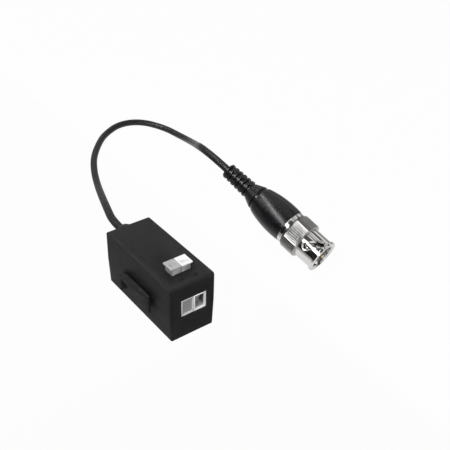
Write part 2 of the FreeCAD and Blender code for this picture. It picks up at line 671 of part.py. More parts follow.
def make_gland():
    """The round gland in the back wall, with a flange inside and a tapered nose outside."""
    wall_in = "(%s)" % INNER_BACK
    place = Placement(Vector(0, 0, size(CABLE_HEIGHT)), Rotation(Vector(1, 0, 0), -90))
    turned("cable_gland", [
        ("cable_radius", wall_in + " - flange_thick"), ("gland_flange", wall_in + " - flange_thick"),
        ("gland_flange", wall_in), ("gland_neck", wall_in), ("gland_neck", BACK),
        ("gland_radius", BACK), ("gland_radius", BACK + " + 0.6 * gland_reach"),
        ("gland_radius - 0.7", BACK + " + gland_reach"), ("cable_radius", BACK + " + gland_reach")], place)


def make_inner_leads():
    """The cable's end inside the case, and its core and screen down to the board."""
    height = size(CABLE_HEIGHT)
    face = size(BACK + " + gland_reach")
    start = size(INNER_BACK + " - cable_inside")
    solid("cable_end", Part.makeCylinder(size("cable_radius - fit_play"), face - start,
                                         Vector(0, start, height), Vector(0, 1, 0)))
    spread = size("lead_spread")
    foot = size("board_rise - lead_tail")
    radius = size("lead_size")
    for label, sign in (("core_lead", -1), ("screen_lead", 1)):
        x = sign * size("lead_foot")
        y = size(label + "_y")
        points = [Vector(sign * spread, start, height),
                  Vector(sign * spread, start - size("lead_run"), height),
                  Vector(x, y, height - size("lead_drop")), Vector(x, y, foot)]
        lead, _, _ = tube(points, radius, 0.3)
        solid(label, lead)
        lead_hole("%d * lead_foot" % sign, label + "_y", "lead_size")


def plug_place():
    """The plug rests on its nose's rim with its tail raised; its local Z runs tail to nose."""
    pitch = size("plug_pitch")
    yaw = size("plug_yaw")
    turn = Rotation(Vector(0, 0, 1), yaw).multiply(Rotation(Vector(1, 0, 0), 90 + pitch))
    lean = math.radians(pitch)
    height = size("rim_radius") * math.cos(lean) - size("rim_chamfer") * math.sin(lean)
    nose = Vector(size("nose_x"), size("nose_y"), height)
    tail = nose - turn.multVec(Vector(0, 0, size("plug_length")))
    return Placement(tail, turn)


def make_relief(place):
    """The moulded strain relief and grip: staggered rings, a flare, a waist and a barrel."""
    length = size("relief_length")
    count = int(size("relief_rings"))
    pitch = length / count
    thick = pitch * size("ring_share")
    tail = size("relief_tail")
    head = size("relief_head")
    root = size("relief_root")
    barrel_end = size("collar_start")

    def envelope(height):
        return tail + (head - tail) * height / length

    corners = [(0, 0), (envelope(0) - root, 0), (envelope(length) - root, length)]
    corners += [(size("flare_start"), length)]
    corners += [(size("flare_radius"), size("flare_end")), (size("waist_radius"), size("flare_end")),
                (size("waist_radius"), size("waist_end")), (size("grip_start"), size("waist_end"))]
    points = [Vector(radius, 0, height) for radius, height in corners]
    belly = Vector(size("grip_belly"), 0, size("grip_belly_at"))
    end = Vector(size("grip_end"), 0, barrel_end)
    edges = [Part.LineSegment(a, b).toShape() for a, b in zip(points, points[1:])]
    edges += [Part.Arc(points[-1], belly, end).toShape(),
              Part.LineSegment(end, Vector(0, 0, barrel_end)).toShape(),
              Part.LineSegment(Vector(0, 0, barrel_end), points[0]).toShape()]
    grip = Part.Face(Part.Wire(edges)).revolve(Vector(), Vector(0, 0, 1), 360)
    rings = []
    width = size("bridge_width")
    for number in range(count):
        start = number * pitch
        ring = Part.makeCone(envelope(start), envelope(start + thick), thick, Vector(0, 0, start))
        rings.append(ring)
        reach = envelope(start) - 0.05
        bridge = Part.makeBox(2 * reach, width, pitch - thick + 0.2, Vector(-reach, -width / 2, start + thick - 0.1))
        if number % 2:
            bridge.rotate(Vector(), Vector(0, 0, 1), 90)
        round_off = Part.makeCylinder(reach, pitch, Vector(0, 0, start + thick - 0.1))
        rings.append(bridge.common(round_off))
    shape = grip.fuse(rings)
    room = size("shank_radius + fit_play")
    socket = Part.makeCylinder(room, barrel_end, Vector(0, 0, size("shank_start")))
    solid("strain_relief_boot", shape.cut(socket).removeSplitter(), place)


def make_plug_body(place):
    """The plug's turned body: shank, collar, neck, flange and front bore."""
    turned("plug_body", [
        ("cable_radius", "shank_start"), ("shank_radius", "shank_start"),
        ("shank_radius", "collar_start"), ("collar_radius", "collar_start"),
        ("collar_radius", "collar_end"), ("neck_radius", "collar_end"),
        ("neck_radius", "flange_start"), ("flange_radius", "flange_start"),
        ("flange_radius", "flange_end"), ("contact_radius + fit_play", "flange_end"),
        ("contact_radius + fit_play", "bore_deep"), ("cable_radius", "bore_deep")], place)


def make_contact_set(place):
    """The slotted outer contact, the insulator, the centre pin and the face gasket."""
    contact = turned("outer_contact", [
        ("contact_radius - contact_wall", "bore_deep"), ("contact_radius", "bore_deep"),
        ("contact_radius", "contact_end - 0.6"), ("contact_radius - 0.15", "contact_end"),
        ("contact_radius - contact_wall", "contact_end")], place)
    half = "contact_slot / 2"
    for role in ("XZ_Plane", "YZ_Plane"):
        pocket(contact, "contact_slot_" + role[:2].lower(), role, [
            ("-" + half, "contact_slot_start"), (half, "contact_slot_start"),
            (half, "contact_end + 1"), ("-" + half, "contact_end + 1")])
    inside = "contact_radius - contact_wall - fit_play"
    turned("plug_insulator", [
        ("pin_radius + fit_play", "bore_deep"), (inside, "bore_deep"),
        (inside, "bore_deep + insulator_seat"), ("insulator_radius", "bore_deep + insulator_seat"),
        ("insulator_radius", "insulator_end"), ("pin_radius + fit_play", "insulator_end")], place)
    turned("centre_pin", [
        ("0", "bore_deep"), ("pin_radius", "bore_deep"), ("pin_radius", "pin_end - 0.7"),
        ("pin_radius * 0.55", "pin_end"), ("0", "pin_end")], place)
    turned("face_gasket", [
        ("contact_radius + fit_play", "flange_end"), ("gasket_outer", "flange_end"),
        ("gasket_outer", "flange_end + gasket_thick"), ("contact_radius + fit_play", "flange_end + gasket_thick")],
        place)


def make_nut_holders(place):
    """Behind the body's flange: a thrust washer, a disc spring and the nut's retaining ring."""
    washer_front = "(flange_start - seat_play)"
    turned("thrust_washer", [
        ("washer_inner", WASHER_BACK), ("washer_outer", WASHER_BACK),
        ("washer_outer", washer_front), ("washer_inner", washer_front)], place)
    disc_back = "(%s + seat_play)" % RING_FRONT
    disc_front = "(%s + %s)" % (disc_back, DISC_HEIGHT)
    turned("disc_spring", [
        ("washer_outer - disc_thick", disc_back), ("washer_outer", disc_back),
        ("washer_inner + disc_thick", disc_front), ("washer_inner", disc_front)], place)
    ring_back = "(%s + ring_play)" % GROOVE_BACK
    ring_outer = "(groove_radius - ring_play)"
    ring = turned("retaining_ring", [
        ("ring_inner", ring_back), (ring_outer, ring_back),
        (ring_outer, RING_FRONT), ("ring_inner", RING_FRONT)], place)
    pocket(ring, "ring_gap_cut", "XY_Plane", [
        ("0", "-ring_gap / 2"), ("groove_radius + 1", "-ring_gap / 2"),
        ("groove_radius + 1", "ring_gap / 2"), ("0", "ring_gap / 2")])


def make_nut(place):
    """The bayonet coupling nut: knurled collar, slotted sleeve and front rim."""
    start = size("nut_start")
    knurl_end = size("knurl_end")
    length = size("plug_length")
    outer = size("knurl_radius")
    teeth = int(size("knurl_count"))
    deep = size("knurl_deep")
    corners = []
    for step in range(2 * teeth):
        radius = outer if step % 2 == 0 else outer - deep
        angle = math.pi * step / teeth
        corners.append(Vector(radius * math.cos(angle), radius * math.sin(angle), start))
    knurl = Part.Face(Part.makePolygon(corners + corners[:1])).extrude(Vector(0, 0, knurl_end - start))
    chamfer = size("knurl_chamfer")
    blank = [(0, start), (outer - chamfer, start), (outer + 0.01, start + chamfer),
             (outer + 0.01, knurl_end - chamfer), (outer - chamfer, knurl_end), (0, knurl_end)]
    knurl = knurl.common(revolved(blank))
    sleeve = size("sleeve_radius")
    rim = size("rim_radius")
    edge = size("rim_chamfer")
    front = revolved([(0, knurl_end - 0.5), (sleeve, knurl_end - 0.5), (sleeve, size("rim_start")),
                      (rim, size("rim_start")), (rim, length - edge), (rim - edge, length), (0, length)])
    bore = size("sleeve_bore")
    cavity = size("cavity_radius")
    groove = size("groove_radius")
    shoulder = size("flange_end + shoulder_play")
    mouth = size("mouth_chamfer")
    inside = revolved([
        (0, start - 1), (cavity, start - 1), (cavity, size(GROOVE_BACK)), (groove, size(GROOVE_BACK)),
        (groove, size(GROOVE_FRONT)), (cavity, size(GROOVE_FRONT)), (cavity, shoulder),
        (bore, shoulder), (bore, length - mouth), (bore + mouth, length), (bore + mouth, length + 1),
        (0, length + 1)])
    nut = knurl.fuse(front).cut(inside)
    lock_at = size("lock_at")
    slot_front = size("slot_front")
    cutters = []
    for turn in (0, 180):
        angle = size("lock_angle") + turn
        cutters.append(radial_hole(angle, lock_at, size("lock_radius")))
        cutters.append(helical_slot(angle, lock_at, slot_front))
        entry = angle - size("slot_turn")
        cutters.append(radial_hole(entry, slot_front, size("slot_width") / 2))
        cutters.append(entry_groove(entry, slot_front))
    for cutter in cutters:
        nut = nut.cut(cutter)
    solid("coupling_nut", nut, place)


def revolved(corners):
    points = [Vector(radius, 0, height) for radius, height in corners]
    return Part.Face(Part.makePolygon(points + points[:1])).revolve(Vector(), Vector(0, 0, 1), 360)


def radial_hole(angle, height, radius):
    """A round hole through one wall of the nut's sleeve."""
    outward = Rotation(Vector(0, 0, 1), angle).multVec(Vector(1, 0, 0))
    start = outward * (size("sleeve_bore") - 1) + Vector(0, 0, height)
    return Part.makeCylinder(radius, 4, start, outward)


def helical_slot(angle, lock_at, slot_front):
    """The ramp through the sleeve's wall, from the lock hole toward the entry."""
    low = size("sleeve_bore") - 1
    turn = size("slot_turn")
    rise = slot_front - lock_at
    pitch = rise * 360 / turn
    helix = Part.makeHelix(pitch, rise, low + 1.5, 0, True)
    half = size("slot_width") / 2
    section = Part.makePolygon([Vector(low, 0, -half), Vector(low + 4, 0, -half),
                                Vector(low + 4, 0, half), Vector(low, 0, half), Vector(low, 0, -half)])
    slot = Part.Wire(helix.Edges).makePipeShell([section], True, True)
    slot.rotate(Vector(), Vector(0, 0, 1), angle)
    slot.translate(Vector(0, 0, lock_at))
    return slot


def entry_groove(angle, slot_front):
    """The groove inside the rim by which a socket's stud enters the slot."""
    width = size("slot_width")
    reach = size("entry_radius")
    groove = Part.makeBox(reach - 3, width, size("plug_length") - slot_front + 1,
                          Vector(3, -width / 2, slot_front))
    groove.rotate(Vector(), Vector(0, 0, 1), angle)
    return groove


def make_cable(place):
    """The free cable: straight runs and tangent arcs from the gland to the plug's tail."""
    start = Vector(0, size(BACK + " + gland_reach"), size(CABLE_HEIGHT))
    tail = place.Base
    rising = place.Rotation.multVec(Vector(0, 0, -1))
    points = [start, start + Vector(0, FIRST_RUN, 0)] + [Vector(*point) for point in ROUTE]
    points += [tail + rising * LAST_RUN, tail]
    cable, radii, length = tube(points, size("cable_radius"))
    solid("video_cable", cable)
    print("cable length %.1f, radii" % length, " ".join("%.1f" % radius for radius in radii))
    print("cable volume over section times length %.5f"
          % (cable.Volume / (length * math.pi * size("cable_radius") ** 2)))
    print("cable points", [tuple(round(value, 3) for value in point) for point in points])


def check(items):
    """Stop if any object failed, or any sub-part has no valid shape."""
    failed = [item.Name for item in doc.Objects if "Invalid" in item.State or "Error" in item.State]
    for item in items:
        if item.Shape.isNull() or not item.Shape.isValid() or not item.Shape.Solids:
            failed.append(item.Label)
    if failed:
        raise RuntimeError("failed: " + ", ".join(failed))


def main():
    make_case()
    make_cover()
    for side, pole in (("left", -1), ("right", 1)):
        make_pole(side, pole)
        make_contact(side, pole)
        make_spring(side, pole)
        make_button(side, pole)
    make_leaf("left", -1, "leaf_left_depth", "0")
    make_leaf("right", 1, "leaf_right_depth", "leaf_right_gap")
    make_transformer()
    axis_height = size(BOARD_TOP + " + part_rise + arrester_radius")
    make_axial("surge_arrester", Vector(0, size("arrester_y"), axis_height), Vector(1, 0, 0),
               size("arrester_radius"), size("arrester_length"), size("arrester_lead"))
    axis_height = size(BOARD_TOP + " + part_rise + resistor_radius")
    make_axial("load_resistor", Vector(size("resistor_x"), size("resistor_y"), axis_height),
               Vector(0, 1, 0), size("resistor_radius"), size("resistor_length"), size("resistor_lead"))
    make_capacitor()
    make_gland()
    make_inner_leads()
    make_board()
    place = plug_place()
    make_relief(place)
    make_plug_body(place)
    make_contact_set(place)
    make_nut_holders(place)
    make_nut(place)
    make_cable(place)
    doc.recompute()
    check(SUBPARTS)
    os.makedirs("parts", exist_ok=True)
    for item in SUBPARTS:
        item.Shape.exportStep("parts/%s.step" % item.Label)
        around = item.Shape.BoundBox
        print("%-22s solids %d volume %.2f  x %.2f %.2f  y %.2f %.2f  z %.2f %.2f" % (
            item.Label, len(item.Shape.Solids), item.Shape.Volume,
            around.XMin, around.XMax, around.YMin, around.YMax, around.ZMin, around.ZMax))


main()
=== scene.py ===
# %% [markdown]
# A video balun for a security camera, dressed for its picture: a slim black case
# with a push terminal in front, a short coaxial tail and a bayonet plug. The case,
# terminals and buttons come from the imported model. What is round and seen close, such as
# the plug, its strain relief and the cord, is worked out again here as fine surfaces,
# because a model's facets show on a shiny turned part.

# %% Load the frame and keep its box
import json
import math
import bmesh
import bpy
import numpy as np
from mathutils import Matrix, Vector

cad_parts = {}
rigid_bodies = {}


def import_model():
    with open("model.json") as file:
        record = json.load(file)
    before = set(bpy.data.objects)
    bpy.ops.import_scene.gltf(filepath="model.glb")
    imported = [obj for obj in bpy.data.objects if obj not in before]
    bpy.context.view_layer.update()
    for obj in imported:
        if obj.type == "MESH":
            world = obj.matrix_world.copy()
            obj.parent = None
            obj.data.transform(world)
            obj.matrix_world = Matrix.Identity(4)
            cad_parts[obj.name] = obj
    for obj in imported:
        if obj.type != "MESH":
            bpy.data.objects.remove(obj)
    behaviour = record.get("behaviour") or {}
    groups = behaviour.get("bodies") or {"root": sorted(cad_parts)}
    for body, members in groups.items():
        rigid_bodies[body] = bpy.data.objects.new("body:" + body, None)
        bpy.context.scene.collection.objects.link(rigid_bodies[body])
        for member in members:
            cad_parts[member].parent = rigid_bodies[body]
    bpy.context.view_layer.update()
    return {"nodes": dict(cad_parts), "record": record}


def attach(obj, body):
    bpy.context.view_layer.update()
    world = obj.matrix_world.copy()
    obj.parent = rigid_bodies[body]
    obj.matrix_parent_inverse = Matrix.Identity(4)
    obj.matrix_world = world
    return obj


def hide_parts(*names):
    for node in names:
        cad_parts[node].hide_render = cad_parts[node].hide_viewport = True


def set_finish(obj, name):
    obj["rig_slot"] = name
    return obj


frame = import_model()
scene = bpy.context.scene

# %% [markdown]
# The camera was solved from the case's edges in the photograph: where it stands,
# which way it looks, its slight roll and its focal length. Looking direction and
# roll are turned into three axes by hand, so the numbers can be read as angles.

# %% The camera
AZIMUTH = math.radians(-38.2)
ELEVATION = math.radians(33.9)
ROLL = math.radians(2.02)
STAND = Vector((-0.10670, -0.17130, 0.16780))
SENSOR = 36.0
FOCAL_PIXELS = 736.0
FRAME_PIXELS = 450.0

back = Vector((math.sin(AZIMUTH) * math.cos(ELEVATION), -math.cos(AZIMUTH) * math.cos(ELEVATION),
               math.sin(ELEVATION)))
level = (-back).cross(Vector((0, 0, 1))).normalized()
upright = level.cross(-back)
right = level * math.cos(ROLL) + upright * math.sin(ROLL)
up = upright * math.cos(ROLL) - level * math.sin(ROLL)

camera = bpy.data.objects.new("camera", bpy.data.cameras.new("camera"))
camera.data.sensor_width = SENSOR
camera.data.lens = SENSOR * FOCAL_PIXELS / FRAME_PIXELS
camera.data.clip_start = 0.01
camera.data.clip_end = 20.0
turn = np.eye(4)
turn[:3, 0] = right
turn[:3, 1] = up
turn[:3, 2] = back
turn[:3, 3] = STAND
camera.matrix_world = Matrix(turn.tolist())
scene.collection.objects.link(camera)
scene.camera = camera
print("lens %.1f mm, %.0f mm from the case" % (camera.data.lens, STAND.length * 1000))

# %% [markdown]
# The cord is soft, so only its route is fixed: out of the gland, down to the table,
# round in one loop and up to the raised plug. A NURBS curve of order three through
# the same points gives one smooth line, and the curve's bevel makes it a tube. The bevel
# is 1 m and each point scales it to the cord's radius, because a curve's bounding box
# reaches as far round its points as their radius says.

# %% The cord
CORD_POINTS = [
    (0.0, 23.78, 16.5), (0.0, 31.2, 16.5), (3.1, 40.6, 15.4), (8.9, 55.5, 11.0), (16.7, 74.4, 4.7),
    (23.5, 90.4, 1.8), (29.8, 102.5, 1.5), (38.2, 113.0, 1.5), (45.3, 119.7, 1.8), (55.8, 123.2, 3.3),
    (66.5, 120.0, 3.0), (73.9, 110.5, 1.5), (75.4, 99.7, 1.5), (74.5, 90.4, 3.1), (68.8, 76.5, 8.7),
    (59.2, 60.3, 17.4), (49.6, 46.0, 26.4), (48.528, 34.664, 26.794), (50.029, 26.829, 23.859)]
CORD_RADIUS = 0.0015

line = bpy.data.curves.new("video_cord", "CURVE")
line.dimensions = "3D"
line.resolution_u = 24
line.bevel_depth = 1.0
line.bevel_resolution = 8
line.use_fill_caps = True
spline = line.splines.new("NURBS")
spline.points.add(len(CORD_POINTS) - 1)
for point, place in zip(spline.points, CORD_POINTS):
    point.co = (place[0] / 1000, place[1] / 1000, place[2] / 1000, 1.0)
    point.radius = CORD_RADIUS
spline.order_u = 3
spline.use_endpoint_u = True
cord = bpy.data.objects.new("video_cord", line)
scene.collection.objects.link(cord)
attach(cord, "balun")
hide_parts("video_cable")
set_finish(cord, "cable_jacket")

# %% [markdown]
# Every turned piece of the plug is easiest to think of on its own axis: a height
# along it, from the tail of the strain relief to the nose, and a radius. Three
# directions carry such a point to its place in the scene.

# %% The plug's axis
PITCH = math.radians(20.2)
YAW = math.radians(10.84)
NOSE = np.array([59.03, -20.18, 6.75 * math.cos(PITCH) - 0.25 * math.sin(PITCH)])
PLUG_LENGTH = 51.0
AHEAD = np.array([math.cos(PITCH) * math.sin(YAW), -math.cos(PITCH) * math.cos(YAW), -math.sin(PITCH)])
ASIDE = np.array([math.cos(YAW), math.sin(YAW), 0.0])
ABOVE = np.cross(AHEAD, ASIDE)
TAIL = NOSE - PLUG_LENGTH * AHEAD
print("plug tail at", np.round(TAIL, 2), "mm")


def on_plug(angle, radius, height):
    """Points of the plug in metres:
    tail + radius * (cos(angle) * aside + sin(angle) * above) + height * ahead."""
    spread = (np.cos(angle)[..., None] * ASIDE + np.sin(angle)[..., None] * ABOVE) * radius[..., None]
    return (TAIL + spread + height[..., None] * AHEAD) / 1000


# %% [markdown]
# A turned surface is a grid: rows go along the profile and columns go round. The
# faces come from index arithmetic on the whole grid at once. Each piece also gets a
# UV map in millimetres, round it and along it, so that turning marks can follow the
# surface.

# %% Surfaces from grids
def new_piece(name, points, quads, uv=None, body="balun", sharp=35):
    """A mesh object from arrays: points (n, 3) in metres, quads (m, 4), and uv (n, 2) per point."""
    mesh = bpy.data.meshes.new(name)
    mesh.from_pydata(points.reshape(-1, 3).tolist(), [], quads.tolist())
    if uv is not None:
        corners = np.empty(len(mesh.loops), np.int32)
        mesh.loops.foreach_get("vertex_index", corners)
        layer = mesh.uv_layers.new(name="wrap")
        layer.data.foreach_set("uv", uv.reshape(-1, 2)[corners].astype(np.float32).ravel())
    mesh.polygons.foreach_set("use_smooth", np.ones(len(mesh.polygons), bool))
    mesh.set_sharp_from_angle(angle=math.radians(sharp))
    piece = bpy.data.objects.new(name, mesh)
    scene.collection.objects.link(piece)
    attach(piece, body)
    return piece


def grid_quads(rows, columns, closed_round=True):
    """Quads of a grid of rows and columns; the last column joins the first when it closes round."""
    wide = columns if closed_round else columns - 1
    row, column = np.meshgrid(np.arange(rows - 1), np.arange(wide), indexing="ij")
    after = (column + 1) % columns
    return np.stack([row * columns + column, row * columns + after,
                     (row + 1) * columns + after, (row + 1) * columns + column], -1).reshape(-1, 4)


def softened(corners, steps=4):
    """A profile with rounded corners. Corners are (height, radius, rounding). Near each one the line
    is a quadratic Bezier curve, (1-t)^2 a + 2t(1-t) corner + t^2 b, with a and b one rounding away."""
    spots = np.array([corner[:2] for corner in corners], float)
    share = np.linspace(0, 1, steps + 1)[:, None]
    rows = [spots[:1]]
    for before, spot, after, corner in zip(spots, spots[1:], spots[2:], corners[1:-1]):
        to_before = (before - spot) / np.linalg.norm(before - spot)
        to_after = (after - spot) / np.linalg.norm(after - spot)
        a = spot + to_before * corner[2]
        b = spot + to_after * corner[2]
        curve = (1 - share) ** 2 * a + 2 * share * (1 - share) * spot + share ** 2 * b
        rows += [a[None] + to_before * 0.04, curve, b[None] + to_after * 0.04]
    rows.append(spots[-1:])
    return np.concatenate(rows)


def turned(name, corners, columns=160, body="balun", place=on_plug, steps=4):
    """A closed ring or plug turned on its axis: point(angle, k) = place(angle, radius_k, height_k),
    where the profile runs from its first corner round the section and back to it."""
    profile = softened(corners, steps)
    angle = np.linspace(0, 2 * math.pi, columns, endpoint=False)
    height = np.repeat(profile[:, :1], columns, 1)
    radius = np.repeat(profile[:, 1:], columns, 1)
    around = np.repeat(angle[None], len(profile), 0)
    walked = np.concatenate([[0], np.cumsum(np.linalg.norm(np.diff(profile, axis=0), axis=1))])
    uv = np.stack([around * profile[:, 1].max(), np.repeat(walked[:, None], columns, 1)], -1)
    return new_piece(name, place(around, radius, height), grid_quads(len(profile), columns), uv, body)


# %% [markdown]
# The strain relief is soft vinyl moulded over the cord. Its rings are joined by
# small bridges that alternate by a quarter turn, which is what lets it bend. That is one
# height field: the radius is the root's, or the ring's where a ring or a bridge is.

# %% Strain relief and grip
RELIEF_END = 12.6
RING_COUNT = 6
RING_SHARE = 0.46


def smooth_step(low, high, value):
    """0 below low, 1 above high, and 3t^2 - 2t^3 between."""
    share = np.clip((value - low) / (high - low), 0, 1)
    return share * share * (3 - 2 * share)


def relief_radius(angle, height):
    """root + (envelope - root) * max(ring, bridge): ring is 1 for the first part of each pitch, and
    bridge is 1 within 1.15 mm of two opposite sides, which turn by 90 degrees from ring to ring."""
    pitch = RELIEF_END / RING_COUNT
    number = np.floor(height / pitch)
    along = height - number * pitch
    thick = pitch * RING_SHARE
    envelope = 3.15 + (3.6 - 3.15) * height / RELIEF_END
    root = envelope - 0.85
    ring = smooth_step(0, 0.22, along) * (1 - smooth_step(thick - 0.06, thick + 0.16, along))
    turned_angle = angle + np.where(number % 2 == 0, 0.0, math.pi / 2)
    off_side = np.abs(np.sin(turned_angle)) * envelope
    bridge = 1 - smooth_step(1.0, 1.3, off_side)
    return root + (envelope - 0.05 * bridge - root) * np.maximum(ring, bridge)


def bowed(start, middle, end, steps):
    """Points (height, radius) on the circle through three points: its centre solves
    2 (b - a) . c = |b|^2 - |a|^2 and 2 (d - a) . c = |d|^2 - |a|^2."""
    a, b, d = (np.array(spot) for spot in (start, middle, end))
    centre = np.linalg.solve(2 * np.stack([b - a, d - a]), [b @ b - a @ a, d @ d - a @ a])
    first, last = (math.atan2(*(spot - centre)[::-1]) for spot in (a, d))
    turn = np.linspace(first, last, steps)
    return centre + np.linalg.norm(a - centre) * np.stack([np.cos(turn), np.sin(turn)], -1)


COLUMNS = 192
angle = np.linspace(0, 2 * math.pi, COLUMNS, endpoint=False)
rows = np.concatenate([[0.0], np.linspace(0.001, RELIEF_END, 300)])
around, along = np.meshgrid(angle, rows)
relief = relief_radius(around, along)
relief[0] = 1.5
neck_profile = softened([
    (RELIEF_END, 2.75, 0.0), (RELIEF_END, 3.45, 0.1), (16.6, 5.15, 0.25), (16.72, 4.45, 0.06),
    (17.72, 4.4, 0.08), (17.8, 5.35, 0.06), (17.98, 5.5, 0.02), (18.1, 5.53, 0.0)], steps=6)[1:]
barrel_profile = bowed((17.8, 5.5), (29.0, 7.12), (33.6, 6.9), 60)[2:-1]
end_profile = softened([(33.3, 6.93, 0.0), (33.6, 6.88, 0.12), (33.6, 4.1, 0.0)], steps=6)[1:]
grip_profile = np.concatenate([neck_profile, barrel_profile, end_profile])
grip_radius = np.repeat(grip_profile[:, 1:], COLUMNS, 1)
grip_height = np.repeat(grip_profile[:, :1], COLUMNS, 1)
radius = np.concatenate([relief, grip_radius])
height = np.concatenate([along, grip_height])
around = np.repeat(angle[None], len(radius), 0)
uv = np.stack([around * 6.0, height], -1)
boot = new_piece("strain_relief", on_plug(around, radius, height), grid_quads(len(radius), COLUMNS), uv)
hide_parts("strain_relief_boot")
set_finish(boot, "boot_vinyl")
print("strain relief:", len(boot.data.polygons), "faces")

# %% [markdown]
# The coupling nut is one shiny turned part with a knurled collar, two slots that
# wind round its sleeve to a lock hole, and a rim. The slots are cut by a distance
# field: it is negative inside the hole. Cells inside are left out, and the points of
# the cells beside the edge slide on to it, so the edge is smooth.

# %% The coupling nut
NUT_START = 35.6
KNURL_END = 42.4
KNURL_TEETH = 54
KNURL_RADIUS = 7.4
KNURL_DEPTH = 0.16
KNURL_BEVEL = 0.55
LOCK_AT = 44.9
LOCK_ANGLE = 147.0
SLOT_TURN = 48.0
SLOT_FRONT = 48.7
SLEEVE = 6.2
BORE = 4.92


def slot_distance(angle, height):
    """How far a point of the sleeve lies outside the nearer slot, in mm. Each slot is the union of a
    round lock hole, a capsule that winds to the entry, and a straight entry to the nose."""
    best = np.full(angle.shape, 99.0)
    for start in (LOCK_ANGLE, LOCK_ANGLE + 180):
        across = (np.degrees(angle) - start + 180 + 360) % 360 - 180
        sideways = np.radians(across) * SLEEVE
        end = -math.radians(SLOT_TURN) * SLEEVE
        rise = SLOT_FRONT - LOCK_AT
        share = np.clip((sideways * end + (height - LOCK_AT) * rise) / (end * end + rise * rise), 0, 1)
        ramp = np.hypot(sideways - share * end, height - LOCK_AT - share * rise) - 1.2
        hole = np.hypot(sideways, height - LOCK_AT) - 1.4
        best = np.minimum(best, np.minimum(ramp, hole))
    return best


def tube_with_slots(name, columns, heights, outer, inner, distance, body):
    """A tube wall on one grid: outer(angle, height) and inner radius share rows and columns, cells
    inside the slots are dropped, and each open edge is closed by a quad from outer to inner wall."""
    angle = np.linspace(0, 2 * math.pi, columns, endpoint=False)
    around, along = np.meshgrid(angle, heights)
    cell = 2 * math.pi / columns
    if distance is not None:
        here = distance(around, along)
        step = 0.02
        nudge = step / SLEEVE
        by_angle = (distance(around + nudge, along) - distance(around - nudge, along)) / (2 * step)
        by_height = (distance(around, along + step) - distance(around, along - step)) / (2 * step)
        near = np.abs(here) < 0.62 * cell * SLEEVE
        slope = np.maximum(by_angle ** 2 + by_height ** 2, 0.25)
        around = around - np.where(near, here * by_angle / slope, 0) / SLEEVE
        along = along - np.where(near, here * by_height / slope, 0)
        along = np.clip(along, heights[0], heights[-1])
    quads = grid_quads(len(heights), columns)
    if distance is not None:
        centre = here.ravel()[quads].mean(1)
        quads = quads[centre > 0]
    outside = on_plug(around, outer(around, along), along).reshape(-1, 3)
    inside = on_plug(around, inner(around, along), along).reshape(-1, 3)
    count = len(outside)
    edges = np.concatenate([quads[:, [k, (k + 1) % 4]] for k in range(4)])
    keys = np.minimum(edges[:, 0], edges[:, 1]) * count + np.maximum(edges[:, 0], edges[:, 1])
    _, first, times = np.unique(keys, return_index=True, return_counts=True)
    rim = edges[first[times == 1]]
    sides = np.stack([rim[:, 1], rim[:, 0], rim[:, 0] + count, rim[:, 1] + count], -1)
    faces = np.concatenate([quads, quads[:, ::-1] + count, sides])
    used, faces = np.unique(faces, return_inverse=True)
    points = np.concatenate([outside, inside])[used]
    uv = np.stack([np.concatenate([around.ravel(), around.ravel()]) * SLEEVE,
                   np.concatenate([along.ravel(), along.ravel()])], -1)[used]
    return new_piece(name, points, faces.reshape(-1, 4), uv, body, sharp=40)


def sleeve_radius(angle, height):
    """The sleeve's radius, with the rim standing out in front and a small bevel along the slots."""
    rim = 6.75 - 0.25 * smooth_step(50.75, 51.0, height)
    bevel = 0.14 * (1 - smooth_step(0.0, 0.3, slot_distance(angle, height)))
    return SLEEVE - bevel + (rim - SLEEVE) * smooth_step(49.75, 49.9, height)


def bore_radius(angle, height):
    """The bore, widened at the mouth, and cut deeper where a socket's studs enter the slots."""
    entry = LOCK_ANGLE - SLOT_TURN
    across = (np.degrees(angle) - entry + 90 + 360) % 180 - 90
    groove = (np.abs(np.radians(across)) * 5.3 < 1.2) & (height > SLOT_FRONT)
    mouth = BORE + 0.45 * smooth_step(50.55, 51.0, height)
    return np.where(groove, 5.75, mouth)


sleeve_heights = np.concatenate([np.linspace(KNURL_END - 0.4, 49.7, 100), np.linspace(49.75, 49.95, 4),
                                 np.linspace(50.0, 50.7, 6), np.linspace(50.75, 51.0, 5)])
sleeve = tube_with_slots(
    "nut_sleeve", 420, sleeve_heights, sleeve_radius, bore_radius, slot_distance, "nut")
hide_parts("coupling_nut")
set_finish(sleeve, "nickel_plate")
print("nut sleeve:", len(sleeve.data.polygons), "faces")


def knurl_radius(angle, height):
    """The knurl's radius less rounded grooves, depth * sin(teeth * angle / 2)^2, or less a bevel at
    both ends where that is more."""
    tooth = KNURL_DEPTH * np.sin(KNURL_TEETH * angle / 2) ** 2
    ends = KNURL_BEVEL * (1 - smooth_step(NUT_START, NUT_START + 0.5, height)
                          + smooth_step(KNURL_END - 0.5, KNURL_END, height))
    return KNURL_RADIUS - np.maximum(tooth, ends)


knurl_heights = np.concatenate([np.linspace(NUT_START, NUT_START + 0.6, 12),
                                np.linspace(NUT_START + 0.9, KNURL_END - 0.9, 12),
                                np.linspace(KNURL_END - 0.6, KNURL_END, 12)])
knurl = tube_with_slots("nut_knurl", KNURL_TEETH * 12, knurl_heights, knurl_radius,
                        lambda angle, height: np.full_like(height, 6.0), None, "nut")
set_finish(knurl, "nickel_plate")
print("knurl:", len(knurl.data.polygons), "faces")

# %% [markdown]
# The rest of the plug: the body's collar behind the nut, the slotted contact, its
# white insulator with the gold pin, and the soft gasket that a socket's rim meets.

